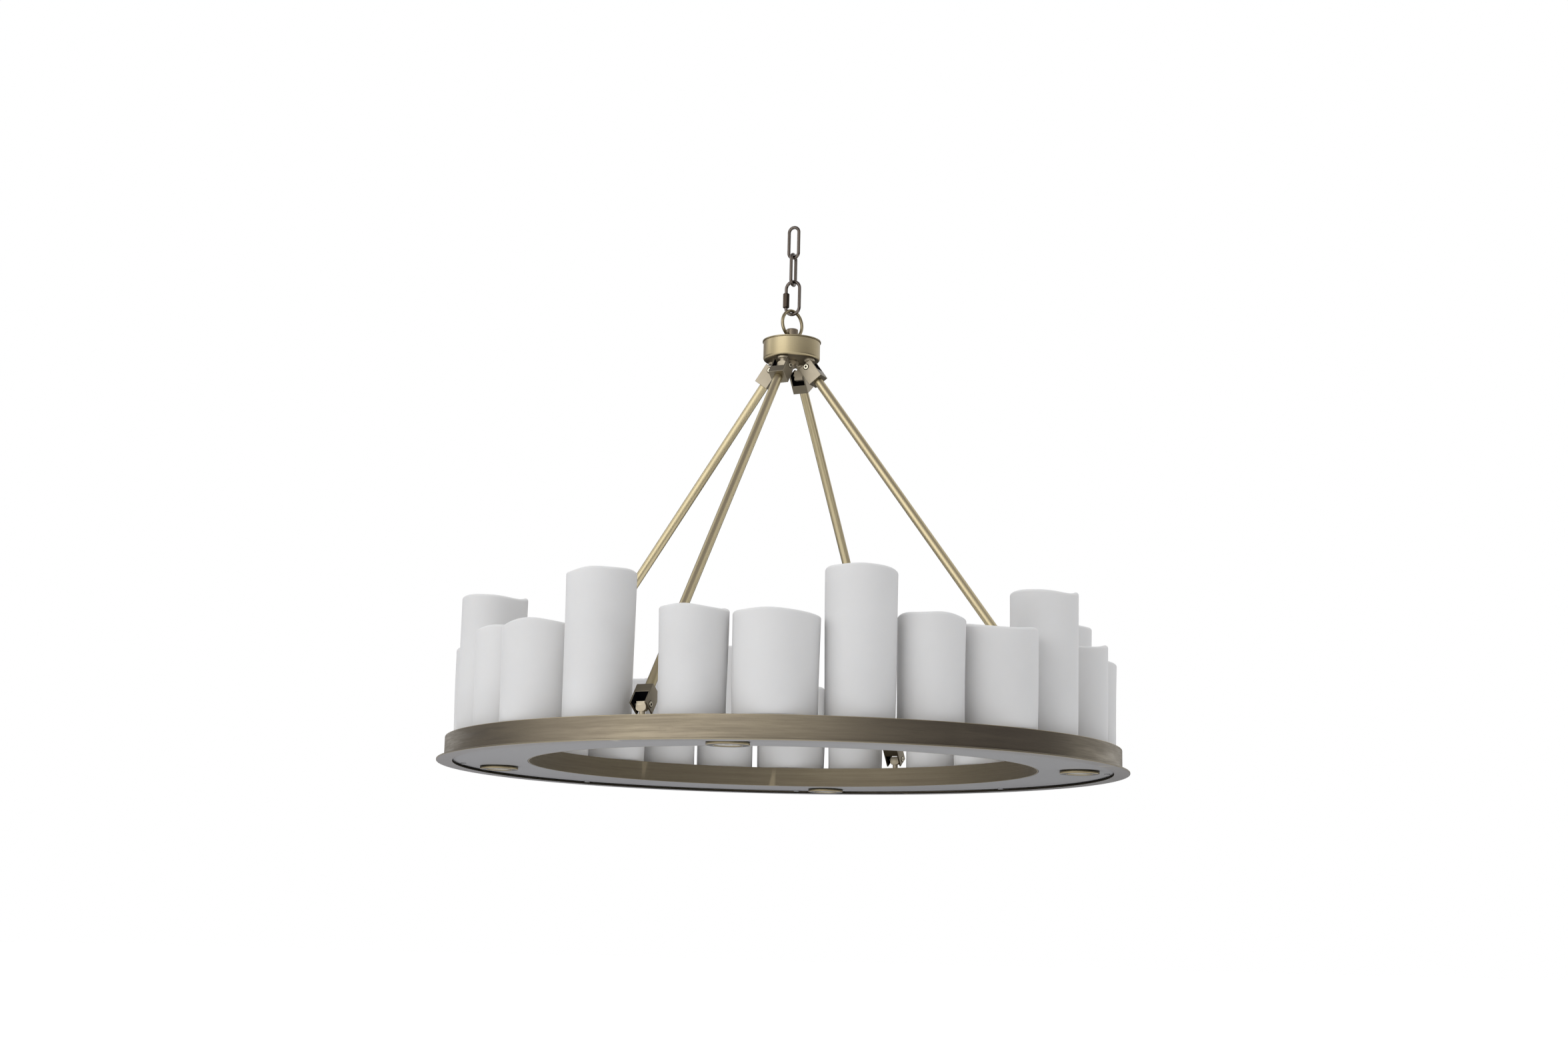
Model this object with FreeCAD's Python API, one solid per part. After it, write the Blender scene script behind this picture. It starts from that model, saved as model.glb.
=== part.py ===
import FreeCAD, Part
import math
import os

# Brass chandelier on a chain. Four tube rods with forked joints carry a ring tray,
# and candle-shaped glass shades with melted-looking rims stand on the tray.
# Lengths are in millimetres and Z is up. The origin is where a ceiling hook bears
# on the inside of the top link. X points from the middle to the first rod.

Vector = FreeCAD.Vector

# Chain links, quick link and hanger ring
wire_d = 4.5
link_length = 48.0
link_width = 19.0
wire_gap = 0.3
quick_length = 51.0
quick_width = 24.4
sleeve_length = 20.4
sleeve_across = 8.4
sleeve_play = 0.1
sleeve_stop_gap = 0.3
sleeve_bevel = 1.0
gate_gap = 5.0
gate_cover = 0.6
ring_wire_d = 4.5
hanger_ring_d = 41.5
hanger_ring_angle = 70.0

# Hub: cross-bored boss, lid, cup and what clamps them
boss_d = 16.5
boss_over_bore = 10.0
boss_under_bore = 7.5
boss_edge = 1.2
boss_stud_d = 10.0
bore_gap = 0.3
lid_thickness = 1.6
lid_overhang = 1.2
lid_lip_depth = 4.0
lid_lip_wall = 1.4
lid_fit = 0.1
cup_d = 77.0
cup_height = 26.0
cup_wall = 1.6
cup_corner = 4.0
hole_play = 0.1
hub_nut_across = 17.0
hub_nut_height = 5.0
hub_nut_dome = 3.0
gland_d = 9.0
gland_height = 6.0
gland_flange_d = 12.0
gland_flange_height = 1.5
gland_bore_d = 6.0
gland_offset = 22.0
gland_angle = 45.0
terminal_length = 18.0
terminal_width = 12.0
terminal_height = 9.0
terminal_hole_d = 3.5
terminal_hole_spacing = 6.0

# Joints at both ends of each rod: a turned knuckle, a forked block and a pivot screw
rod_count = 4
joint_circle_r = 27.0
upper_pivot_drop = 12.5
lower_pivot_rise = 17.0
knuckle_d = 13.8
knuckle_end = 5.6
knuckle_shoulder = 6.6
shoulder_round = 3.0
neck_d = 7.4
collar_d = 14.0
collar_height = 2.4
stud_d = 6.0
stud_reach = 6.5
knuckle_nut_across = 10.0
knuckle_nut_height = 4.0
fork_width = 22.0
fork_depth = 21.0
fork_length = 28.0
fork_slot = 17.6
fork_pin_to_end = 4.6
fork_slot_depth = 16.0
pin_d = 5.0
pin_head_d = 6.8
pin_head_height = 1.0
pin_play = 0.05

# Rods
rod_d = 12.0
rod_bore_d = 5.0
spigot_d = 8.0
spigot_length = 9.0
spigot_play = 0.1

# Ring tray: the shades and the forks that stand on it set its diameter and width
flange_overhang = 10.0
ring_height = 30.0
hub_over_tray = 524.5
sheet = 1.5
flange_thickness = 2.0
flange_ledge = 9.5
panel_thickness = 2.0
panel_fit = 0.5
shadow_gap = 1.5

# Panel posts, their screws and the downlights
post_count = 8
post_d = 8.0
post_inset = 16.0
post_angle = 22.5
screw_d = 4.0
screw_head_d = 7.5
screw_head_height = 1.4
screw_reach = 8.0
screw_play = 0.05
downlight_angle = 15.8
downlight_d = 51.0
downlight_drop = 4.6
neck_through_panel_d = 44.0
neck_height = 10.5
lens_opening_d = 33.0
lens_lip = 1.0
lens_ledge = 1.5
lens_thickness = 2.0
lens_fit = 0.1
module_d = 48.0
module_height = 11.0

# Glass shades: three mouldings that stand in one repeating order
narrow_d = 79.0
narrow_height = 126.0
wide_d = 99.0
wide_height = 120.0
tall_d = 82.0
tall_height = 178.0
shade_gap = 8.0
shade_to_fork = 11.8
shade_to_edge = 5.0
shade_flare = 2.4
glass_wall = 3.5
glass_floor = 4.0
rim_round = 3.0
two_lobe_wave = 2.0
three_lobe_wave = 1.2
wave_points = 12
cutter_overrun = 5.0

# Lamp holder, its nut and the lamp inside each shade
nipple_d = 10.0
nipple_drop = 6.0
holder_flange_d = 30.0
holder_flange_height = 3.0
holder_d = 22.0
holder_height = 20.0
holder_nut_across = 14.0
holder_nut_height = 3.0
lamp_d = 16.0
lamp_height = 32.0
lamp_tip = 6.0
lamp_tip_d = 7.0

# Each kind of shade: base diameter and height
shade_kinds = {
    "narrow": (narrow_d, narrow_height),
    "wide": (wide_d, wide_height),
    "tall": (tall_d, tall_height),
}

# The order of the shades from one rod to the next
shade_order = ["narrow", "wide", "tall", "narrow", "wide", "tall"]

# How far each shade is turned about its own axis, in degrees: one row from rod to rod
shade_angles = [
    [10.0, 60.0, 150.0, 80.0, 200.0, 30.0],
    [120.0, 250.0, 40.0, 300.0, 90.0, 210.0],
    [200.0, 20.0, 195.0, 260.0, 35.0, 255.0],
    [140.0, 140.0, 145.0, 135.0, 255.0, 50.0],
]

# Heights of the chain's pieces, from the hook's seat down
link_pitch = link_length - wire_d
top_link_crown = wire_d / 2
lower_link_crown = top_link_crown - link_pitch + wire_d + wire_gap
quick_crown = lower_link_crown - link_pitch + wire_d + wire_gap
quick_bottom = quick_crown - (quick_length - wire_d)
quick_side = (quick_width - wire_d) / 2
sleeve_bottom = quick_bottom + quick_side + sleeve_stop_gap
hanger_crown = quick_bottom + (wire_d + ring_wire_d) / 2 + wire_gap
hanger_r = (hanger_ring_d - ring_wire_d) / 2
hanger_bottom = hanger_crown - 2 * hanger_r

# The ring curves upwards from the boss's middle to its mouths, so the bore is that much wider
ring_inner_r = hanger_r - ring_wire_d / 2
wire_top = hanger_r - math.sqrt(ring_inner_r**2 - (boss_d / 2)**2)
wire_bottom = -ring_wire_d / 2
boss_bore_d = wire_top - wire_bottom + 2 * bore_gap
bore_height = hanger_bottom + (wire_top + wire_bottom) / 2

# Heights of the hub, the pivots and the tray
lid_top = bore_height - boss_under_bore
cup_top = lid_top - lid_thickness
cup_bottom = cup_top - cup_height
upper_pivot = cup_bottom - upper_pivot_drop
plate_top = cup_bottom - hub_over_tray
lower_pivot = plate_top + lower_pivot_rise
tray_bottom = plate_top - ring_height
flange_top = tray_bottom + flange_thickness
panel_bottom = flange_top + shadow_gap
panel_top = panel_bottom + panel_thickness
plate_bottom = plate_top - sheet

# Radii of the tray: from rod to rod its middle circle holds a fork and one row of shades,
# each clear of the next, and its bands stand clear of the widest shade
shade_diameters = [shade_kinds[kind][0] for kind in shade_order]
quarter_arc = fork_width + 2 * shade_to_fork
quarter_arc += sum(shade_diameters) + (len(shade_order) - 1) * shade_gap
middle_r = quarter_arc * rod_count / (2 * math.pi)
tray_width = max(shade_diameters) + 2 * shade_to_edge
band_r = middle_r + tray_width / 2
hole_r = middle_r - tray_width / 2
flange_r = band_r + flange_overhang
ledge_r = band_r - sheet - flange_ledge
post_circle_r = band_r - sheet - post_inset

# The rods' slope from the upper pivots to the lower ones, as turns about Y
rod_run = middle_r - joint_circle_r
rod_fall = upper_pivot - lower_pivot
pivot_distance = math.hypot(rod_run, rod_fall)
rod_down_angle = math.degrees(math.atan2(rod_run, -rod_fall))
rod_up_angle = math.degrees(math.atan2(-rod_run, rod_fall))
fork_seat = fork_length - fork_pin_to_end
rod_length = pivot_distance - 2 * fork_seat

ORIGIN = Vector(0, 0, 0)
X_AXIS = Vector(1, 0, 0)
Y_AXIS = Vector(0, 1, 0)
Z_AXIS = Vector(0, 0, 1)
QUARTER = 360.0 / rod_count
SQUARE_TURN = 90.0
HALF_TURN = 180.0


def moved(shape, x, y, z):
    copy = shape.copy()
    copy.translate(Vector(x, y, z))
    return copy


def turned(shape, angle, axis=Z_AXIS):
    copy = shape.copy()
    copy.rotate(ORIGIN, axis, angle)
    return copy


def set_out(shape, radius, height, count, first_angle=0):
    """Copies of a shape on a circle about the Z axis."""
    return [
        turned(moved(shape, radius, 0, height), first_angle + 360.0 / count * i)
        for i in range(count)
    ]


def cylinder(diameter, height, base=0):
    return Part.makeCylinder(diameter / 2, height, Vector(0, 0, base))


def cross_cylinder(diameter, length):
    """A cylinder along Y, centred on the origin."""
    return Part.makeCylinder(diameter / 2, length, Vector(0, -length / 2, 0), Y_AXIS)


def annulus(outer_r, inner_r, base, top):
    return lathe([(inner_r, base), (outer_r, base), (outer_r, top), (inner_r, top)])


def lathe(profile):
    """A solid turned about Z from a closed outline of radius and height pairs."""
    points = [Vector(radius, 0, height) for radius, height in profile]
    outline = Part.makePolygon(points + [points[0]])
    return Part.Face(outline).revolve(ORIGIN, Z_AXIS, 360)


def hexagon(across, height, base=0):
    corner_r = across / math.sqrt(3)
    corners = [Vector(corner_r * math.cos(math.pi / 3 * i), corner_r * math.sin(math.pi / 3 * i), base)
               for i in range(6)]
    return Part.Face(Part.makePolygon(corners + [corners[0]])).extrude(Vector(0, 0, height))


def hex_nut(across, height, hole_d, base=0):
    return hexagon(across, height, base).cut(cylinder(hole_d, height, base))


def save(node, *solids):
    shape = solids[0] if len(solids) == 1 else Part.makeCompound(solids)
    shape.exportStep("parts/" + node + ".step")


def oval_link(length, width, crown):
    """A link of round wire in the XZ plane; crown is the height of its top bend's wire centre."""
    bend_r = (width - wire_d) / 2
    straight = length - wire_d - 2 * bend_r
    upper = crown - bend_r
    lower = upper - straight
    pieces = []
    for side, height in ((1, upper), (-1, lower)):
        circle = Part.makeCircle(wire_d / 2, Vector(side * bend_r, 0, height), Z_AXIS)
        section = Part.Face(Part.Wire(circle))
        pieces.append(section.revolve(Vector(0, 0, height), Y_AXIS, -HALF_TURN))
        pieces.append(Part.makeCylinder(wire_d / 2, straight, Vector(side * bend_r, 0, lower)))
    return pieces[0].fuse(pieces[1:]).removeSplitter()


def quick_link():
    """The screw link: its left side wire is parted where the sleeve nut covers it."""
    gate = cylinder(sleeve_across, gate_gap)
    link = oval_link(quick_length, quick_width, quick_crown)
    return link.cut(moved(gate, -quick_side, 0, sleeve_bottom + gate_cover))


def quick_sleeve():
    """A hexagonal sleeve nut with bevelled ends."""
    corner_r = sleeve_across / math.sqrt(3)
    bevels = lathe([
        (0, 0), (corner_r - sleeve_bevel, 0), (corner_r, sleeve_bevel),
        (corner_r, sleeve_length - sleeve_bevel), (corner_r - sleeve_bevel, sleeve_length),
        (0, sleeve_length),
    ])
    sleeve = hexagon(sleeve_across, sleeve_length).common(bevels)
    sleeve = sleeve.cut(cylinder(wire_d + 2 * sleeve_play, sleeve_length))
    return moved(sleeve, -quick_side, 0, sleeve_bottom)


def hanger_ring():
    ring = Part.makeTorus(hanger_r, ring_wire_d / 2, ORIGIN, Y_AXIS)
    return moved(turned(ring, hanger_ring_angle), 0, 0, hanger_bottom + hanger_r)


def hanger_boss():
    """The turned boss that the hanger ring passes through, with the stud that clamps the hub."""
    boss_r = boss_d / 2
    boss_top = bore_height + boss_over_bore
    stud_r = boss_stud_d / 2
    stud_end = cup_bottom - hub_nut_height
    boss = lathe([
        (0, stud_end), (stud_r, stud_end), (stud_r, lid_top), (boss_r, lid_top),
        (boss_r, boss_top - boss_edge), (boss_r - boss_edge, boss_top), (0, boss_top),
    ])
    bore = turned(cross_cylinder(boss_bore_d, 2 * boss_d), hanger_ring_angle - SQUARE_TURN)
    return boss.cut(moved(bore, 0, 0, bore_height))


def gland_hole():
    hole = cylinder(gland_d + 2 * hole_play, lid_thickness, cup_top)
    return turned(moved(hole, gland_offset, 0, 0), gland_angle)


def hub_lid():
    """A flat lid a little wider than the cup, with a lip that centres it."""
    lid_r = cup_d / 2 + lid_overhang
    stud_hole_r = boss_stud_d / 2 + hole_play
    lip_r = cup_d / 2 - cup_wall - lid_fit
    lid = annulus(lid_r, stud_hole_r, cup_top, lid_top)
    lip = annulus(lip_r, lip_r - lid_lip_wall, cup_top - lid_lip_depth, cup_top)
    return lid.fuse(lip).removeSplitter().cut(gland_hole())


def hub_cup():
    """The spun cup: open at the top, rounded at the bottom, with holes for the knuckles' studs."""
    outer_r = cup_d / 2
    corner = Part.Arc(
        Vector(outer_r - cup_corner, 0, cup_bottom),
        Vector(outer_r - cup_corner + cup_corner * math.sin(math.pi / 4), 0,
               cup_bottom + cup_corner - cup_corner * math.cos(math.pi / 4)),
        Vector(outer_r, 0, cup_bottom + cup_corner),
    ).toShape()
    rest = Part.makePolygon([
        Vector(outer_r, 0, cup_bottom + cup_corner), Vector(outer_r, 0, cup_top), Vector(0, 0, cup_top),
        Vector(0, 0, cup_bottom), Vector(outer_r - cup_corner, 0, cup_bottom),
    ])
    outline = Part.Wire([corner] + rest.Edges)
    cup = Part.Face(outline).revolve(ORIGIN, Z_AXIS, 360)
    cup = cup.cut(cylinder(cup_d - 2 * cup_wall, cup_height, cup_bottom + cup_wall))
    cup = cup.cut(cylinder(boss_stud_d + 2 * hole_play, cup_wall, cup_bottom))
    stud_hole = cylinder(stud_d + 2 * hole_play, cup_wall, cup_bottom)
    return cup.cut(set_out(stud_hole, joint_circle_r, 0, rod_count))


def hub_nut():
    """The domed nut under the cup that pulls boss, lid and cup together."""
    nut_r = hub_nut_across / 2
    low = cup_bottom - hub_nut_height
    nut = hex_nut(hub_nut_across, hub_nut_height, boss_stud_d + 2 * hole_play, low)
    dome = lathe([
        (0, low), (nut_r, low), (nut_r - hub_nut_dome, low - hub_nut_dome), (0, low - hub_nut_dome),
    ])
    return nut.fuse(dome)


def cable_gland():
    """The bush through the lid that the supply lead enters by."""
    bore_r = gland_bore_d / 2
    gland_r = gland_d / 2
    gland = lathe([
        (bore_r, cup_top - gland_flange_height), (gland_r, cup_top - gland_flange_height),
        (gland_r, lid_top), (gland_flange_d / 2, lid_top),
        (gland_flange_d / 2, lid_top + gland_flange_height),
        (gland_r, lid_top + gland_flange_height), (gland_r, lid_top + gland_height),
        (bore_r, lid_top + gland_height),
    ])
    return turned(moved(gland, gland_offset, 0, 0), gland_angle)


def terminal_block():
    """Two-pole terminal block on the cup's floor, between two rods."""
    block = Part.makeBox(terminal_length, terminal_width, terminal_height,
                         Vector(-terminal_length / 2, -terminal_width / 2, 0))
    hole = cross_cylinder(terminal_hole_d, 2 * terminal_width)
    for side in (-1, 1):
        block = block.cut(moved(hole, side * terminal_hole_spacing / 2, 0, terminal_height / 2))
    block = moved(turned(block, SQUARE_TURN), gland_offset, 0, cup_bottom + cup_wall)
    return turned(block, gland_angle + HALF_TURN)


def knuckle(neck_reach):
    """A turned knuckle about its pivot: flat end down, round shoulder, neck and collar, then a stud."""
    head = cylinder(knuckle_d, knuckle_end + knuckle_shoulder, -knuckle_end)
    shoulder = [edge for edge in head.Edges if edge.BoundBox.ZMin > 0]
    head = head.makeFillet(shoulder_round, shoulder)
    collar_low = neck_reach - collar_height
    shaft = lathe([
        (0, 0), (neck_d / 2, 0), (neck_d / 2, collar_low), (collar_d / 2, collar_low),
        (collar_d / 2, neck_reach), (stud_d / 2, neck_reach),
        (stud_d / 2, neck_reach + stud_reach), (0, neck_reach + stud_reach),
    ])
    return head.fuse(shaft).cut(cross_cylinder(pin_d + 2 * pin_play, 2 * knuckle_d))


def fork():
    """A forked block about its pivot, with the rod's side up and the pivot along Y."""
    block = Part.makeBox(fork_depth, fork_width, fork_length,
                         Vector(-fork_depth / 2, -fork_width / 2, -fork_pin_to_end))
    slot = Part.makeBox(2 * fork_depth, fork_slot, fork_slot_depth + fork_length,
                        Vector(-fork_depth, -fork_slot / 2, -fork_pin_to_end - fork_length))
    socket = cylinder(spigot_d + 2 * spigot_play, fork_length)
    return block.cut([slot, socket, cross_cylinder(pin_d + 2 * pin_play, 2 * fork_width)])


def pivot_screw():
    """A pivot screw along Y with a low round head at each end."""
    reach = fork_width / 2
    tip = reach + pin_head_height
    screw = lathe([
        (0, -tip), (pin_head_d / 2, -tip), (pin_head_d / 2, -reach), (pin_d / 2, -reach),
        (pin_d / 2, reach), (pin_head_d / 2, reach), (pin_head_d / 2, tip), (0, tip),
    ])
    return turned(screw, SQUARE_TURN, X_AXIS)


def rod():
    """A tube from fork to fork with a spigot at each end, standing on its lower seat."""
    rod_r = rod_d / 2
    spigot_r = spigot_d / 2
    bore_r = rod_bore_d / 2
    top = fork_seat + rod_length
    return lathe([
        (bore_r, fork_seat - spigot_length), (spigot_r, fork_seat - spigot_length),
        (spigot_r, fork_seat), (rod_r, fork_seat), (rod_r, top), (spigot_r, top),
        (spigot_r, top + spigot_length), (bore_r, top + spigot_length),
    ])


def save_joints_and_rods():
    upper_knuckle = moved(knuckle(upper_pivot_drop), joint_circle_r, 0, upper_pivot)
    lower_knuckle = moved(turned(knuckle(lower_pivot_rise), HALF_TURN, Y_AXIS), middle_r, 0, lower_pivot)
    upper_fork = moved(turned(fork(), rod_down_angle, Y_AXIS), joint_circle_r, 0, upper_pivot)
    lower_fork = moved(turned(fork(), rod_up_angle, Y_AXIS), middle_r, 0, lower_pivot)
    first_rod = moved(turned(rod(), rod_up_angle, Y_AXIS), middle_r, 0, lower_pivot)
    nut = hex_nut(knuckle_nut_across, knuckle_nut_height, stud_d + 2 * hole_play)
    cup_floor = cup_bottom + cup_wall
    upper_nuts = set_out(nut, joint_circle_r, cup_floor, rod_count)
    lower_nuts = set_out(nut, middle_r, plate_bottom - knuckle_nut_height, rod_count)
    upper_pins = set_out(pivot_screw(), joint_circle_r, upper_pivot, rod_count)
    lower_pins = set_out(pivot_screw(), middle_r, lower_pivot, rod_count)
    save("upper_knuckles", *[turned(upper_knuckle, QUARTER * i) for i in range(rod_count)])
    save("lower_knuckles", *[turned(lower_knuckle, QUARTER * i) for i in range(rod_count)])
    save("upper_forks", *[turned(upper_fork, QUARTER * i) for i in range(rod_count)])
    save("lower_forks", *[turned(lower_fork, QUARTER * i) for i in range(rod_count)])
    save("knuckle_nuts", *(upper_nuts + lower_nuts))
    save("pivot_screws", *(upper_pins + lower_pins))
    for i in range(rod_count):
        save("rod_%d" % (i + 1), turned(first_rod, QUARTER * i))


def shade_places():
    """The shades of one quarter: kind and angle from the rod."""
    places = []
    edge = fork_width / 2 + shade_to_fork
    for kind, diameter in zip(shade_order, shade_diameters):
        places.append((kind, math.degrees((edge + diameter / 2) / middle_r)))
        edge += diameter + shade_gap
    return places


def wave_ring(radius, height):
    """A closed curve at one radius that rises and falls like a melted rim."""
    points = []
    for i in range(wave_points):
        angle = 2 * math.pi * i / wave_points
        swell = two_lobe_wave * math.cos(2 * angle)
        swell += three_lobe_wave * math.cos(3 * angle)
        points.append(Vector(radius * math.cos(angle), radius * math.sin(angle), height + swell))
    curve = Part.BSplineCurve()
    curve.interpolate(points, PeriodicFlag=True)
    return curve.toShape()


def shade(kind):
    """A candle shade: straight inside, slightly flared outside, with a floor, the holder's hole
    and a wavy rim that is rounded off on the outside."""
    diameter, height = shade_kinds[kind]
    base_r = diameter / 2
    bore_r = base_r - glass_wall
    blank = height + two_lobe_wave + three_lobe_wave + cutter_overrun
    top_r = base_r + shade_flare / 2 * blank / height
    glass = lathe([
        (nipple_d / 2 + hole_play, 0), (base_r, 0), (top_r, blank), (bore_r, blank),
        (bore_r, glass_floor), (nipple_d / 2 + hole_play, glass_floor),
    ])
    outer_rim = wave_ring(top_r + cutter_overrun, height)
    inner_rim = wave_ring(bore_r - cutter_overrun, height)
    rim_face = Part.makeRuledSurface(inner_rim, outer_rim)
    glass = glass.cut(rim_face.extrude(Vector(0, 0, blank)))
    lowest = height - two_lobe_wave - three_lobe_wave
    rim_edges = [edge for edge in glass.Edges if edge.BoundBox.ZMin > lowest - rim_round]
    outer_edges = [edge for edge in rim_edges if edge.BoundBox.XMax > base_r]
    return glass.makeFillet(rim_round, outer_edges)


def save_shades(places):
    shapes = {kind: shade(kind) for kind in shade_kinds}
    for quarter, own_angles in enumerate(shade_angles):
        for i, (kind, angle) in enumerate(places):
            number = quarter * len(places) + i + 1
            piece = moved(turned(shapes[kind], own_angles[i]), middle_r, 0, plate_top)
            save("shade_%s_%02d" % (kind, number), turned(piece, QUARTER * quarter + angle))


def lamp_holder():
    """A lamp holder on its threaded nipple; the flange clamps the glass to the tray."""
    seat_top = glass_floor + holder_flange_height
    return lathe([
        (0, -sheet - nipple_drop), (nipple_d / 2, -sheet - nipple_drop),
        (nipple_d / 2, glass_floor), (holder_flange_d / 2, glass_floor),
        (holder_flange_d / 2, seat_top), (holder_d / 2, seat_top),
        (holder_d / 2, seat_top + holder_height), (0, seat_top + holder_height),
    ])


def lamp():
    """A plain capsule lamp that stands in its holder."""
    base = glass_floor + holder_flange_height + holder_height
    return lathe([
        (0, base), (lamp_d / 2, base), (lamp_d / 2, base + lamp_height),
        (lamp_tip_d / 2, base + lamp_height + lamp_tip), (0, base + lamp_height + lamp_tip),
    ])


def save_lamps(places):
    angles = [QUARTER * quarter + angle for quarter in range(rod_count) for kind, angle in places]
    nut = hex_nut(holder_nut_across, holder_nut_height, nipple_d + 2 * hole_play)
    nut_base = plate_bottom - holder_nut_height
    for node, shape, height in (
        ("lamp_holders", lamp_holder(), plate_top),
        ("lamps", lamp(), plate_top),
        ("holder_nuts", nut, nut_base),
    ):
        placed = moved(shape, middle_r, 0, height)
        save(node, *[turned(placed, angle) for angle in angles])


def save_tray(places):
    """The ring tray: two bands, a top plate, the outer flange and the panel, which is held a
    shadow gap above the flange's ledge."""
    save("outer_band", annulus(band_r, band_r - sheet, flange_top, plate_top))
    save("inner_band", annulus(hole_r + sheet, hole_r, panel_bottom, plate_top))
    save("bottom_flange", annulus(flange_r, ledge_r, tray_bottom, flange_top))
    plate = annulus(band_r - sheet, hole_r + sheet, plate_bottom, plate_top)
    stud_hole = cylinder(stud_d + 2 * hole_play, sheet)
    nipple_hole = moved(cylinder(nipple_d + 2 * hole_play, sheet), middle_r, 0, plate_bottom)
    holes = set_out(stud_hole, middle_r, plate_bottom, rod_count)
    for quarter in range(rod_count):
        holes += [turned(nipple_hole, QUARTER * quarter + angle) for kind, angle in places]
    save("top_plate", plate.cut(holes))
    panel = annulus(band_r - sheet - panel_fit, hole_r + sheet + panel_fit, panel_bottom, panel_top)
    neck_hole = cylinder(neck_through_panel_d + 2 * hole_play, panel_thickness)
    screw_hole = cylinder(screw_d + 2 * screw_play, panel_thickness)
    holes = set_out(neck_hole, middle_r, panel_bottom, rod_count, downlight_angle)
    holes += set_out(screw_hole, post_circle_r, panel_bottom, post_count, post_angle)
    save("bottom_panel", panel.cut(holes))


def save_panel_fixings():
    post = cylinder(post_d, plate_bottom - panel_top)
    post = post.cut(cylinder(screw_d + 2 * screw_play, screw_reach + screw_d))
    save("panel_posts", *set_out(post, post_circle_r, panel_top, post_count, post_angle))
    screw = lathe([
        (0, -screw_head_height), (screw_head_d / 2, -screw_head_height), (screw_head_d / 2, 0),
        (screw_d / 2, 0), (screw_d / 2, panel_thickness + screw_reach),
        (0, panel_thickness + screw_reach),
    ])
    save("panel_screws", *set_out(screw, post_circle_r, panel_bottom, post_count, post_angle))


def save_downlights():
    """Low round brass downlights below the panel: each has a neck through the panel, a lens that
    lies on a ledge behind its opening, and a flat light module on the neck."""
    outer_r = downlight_d / 2
    neck_r = neck_through_panel_d / 2
    opening_r = lens_opening_d / 2
    bore_r = opening_r + lens_ledge
    seat = lens_lip - downlight_drop
    bezel = lathe([
        (opening_r, -downlight_drop), (outer_r, -downlight_drop), (outer_r, 0), (neck_r, 0),
        (neck_r, neck_height), (bore_r, neck_height), (bore_r, seat), (opening_r, seat),
    ])
    lens_r = bore_r - lens_fit
    lens = lathe([(0, seat), (lens_r, seat), (lens_r, seat + lens_thickness), (0, seat + lens_thickness)])
    module_r = module_d / 2
    module_top = neck_height + module_height
    module = lathe([(0, neck_height), (module_r, neck_height), (module_r, module_top), (0, module_top)])
    for node, shape in (("downlight_bezels", bezel), ("downlight_lenses", lens), ("light_modules", module)):
        save(node, *set_out(shape, middle_r, panel_bottom, rod_count, downlight_angle))


os.makedirs("parts", exist_ok=True)
save("chain_link_top", oval_link(link_length, link_width, top_link_crown))
save("chain_link_lower", turned(oval_link(link_length, link_width, lower_link_crown), SQUARE_TURN))
save("quick_link", quick_link())
save("quick_link_sleeve", quick_sleeve())
save("hanger_ring", hanger_ring())
save("hanger_boss", hanger_boss())
save("hub_lid", hub_lid())
save("hub_cup", hub_cup())
save("hub_nut", hub_nut())
save("cable_gland", cable_gland())
save("terminal_block", terminal_block())
save_joints_and_rods()
quarter_places = shade_places()
save_tray(quarter_places)
save_panel_fixings()
save_downlights()
save_shades(quarter_places)
save_lamps(quarter_places)
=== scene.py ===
# %% [markdown]
# # A brass chandelier with candle-shaped glass shades
#
# The working model of this chandelier is already fixed: every link, rod and glass has its place
# and its body. This lesson gives it its looks. Each visible piece is modelled again with the
# edges and curves that light needs, gets a material made of nodes, and rides on the body that
# it belongs to. We work in metres, in the same frame as the working model.

# %% Load the frame
import math

import bmesh
import bpy
from mathutils import Matrix, Vector


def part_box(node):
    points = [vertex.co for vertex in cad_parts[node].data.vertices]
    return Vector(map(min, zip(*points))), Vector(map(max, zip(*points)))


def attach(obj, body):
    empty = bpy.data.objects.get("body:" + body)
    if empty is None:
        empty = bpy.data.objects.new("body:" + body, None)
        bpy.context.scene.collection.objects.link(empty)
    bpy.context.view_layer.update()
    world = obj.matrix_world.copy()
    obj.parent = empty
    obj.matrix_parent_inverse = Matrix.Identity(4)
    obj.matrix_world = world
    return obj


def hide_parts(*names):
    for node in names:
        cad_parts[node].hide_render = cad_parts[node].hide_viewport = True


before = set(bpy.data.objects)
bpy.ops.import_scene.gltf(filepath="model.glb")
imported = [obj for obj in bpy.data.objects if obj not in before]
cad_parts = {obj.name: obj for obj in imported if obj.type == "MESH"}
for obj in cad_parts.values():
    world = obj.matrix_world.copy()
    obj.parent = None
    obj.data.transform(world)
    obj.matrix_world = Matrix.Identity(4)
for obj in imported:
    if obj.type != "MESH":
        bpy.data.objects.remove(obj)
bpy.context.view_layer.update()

# %% [markdown]
# ## The main sizes
#
# Sizes that the working model knows are read from its boxes, so the new pieces fit without any
# trial. A few sizes can't be seen from outside, such as the circle that the joints stand on, and
# get a name here in real sizes.

# %% Sizes from the frame
MM = 0.001
TURN = 2 * math.pi

link_low, link_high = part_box("chain_link_top")
wire_r = (link_high.y - link_low.y) / 2
cup_low, cup_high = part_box("hub_cup")
cup_r = cup_high.x
cup_bottom = cup_low.z
lid_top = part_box("hub_lid")[1].z
band_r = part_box("outer_band")[1].x
plate_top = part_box("top_plate")[1].z
tray_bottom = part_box("bottom_flange")[0].z
sheet = 1.5 * MM
hole_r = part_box("inner_band")[1].x - sheet
middle_r = (band_r + hole_r) / 2

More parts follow.
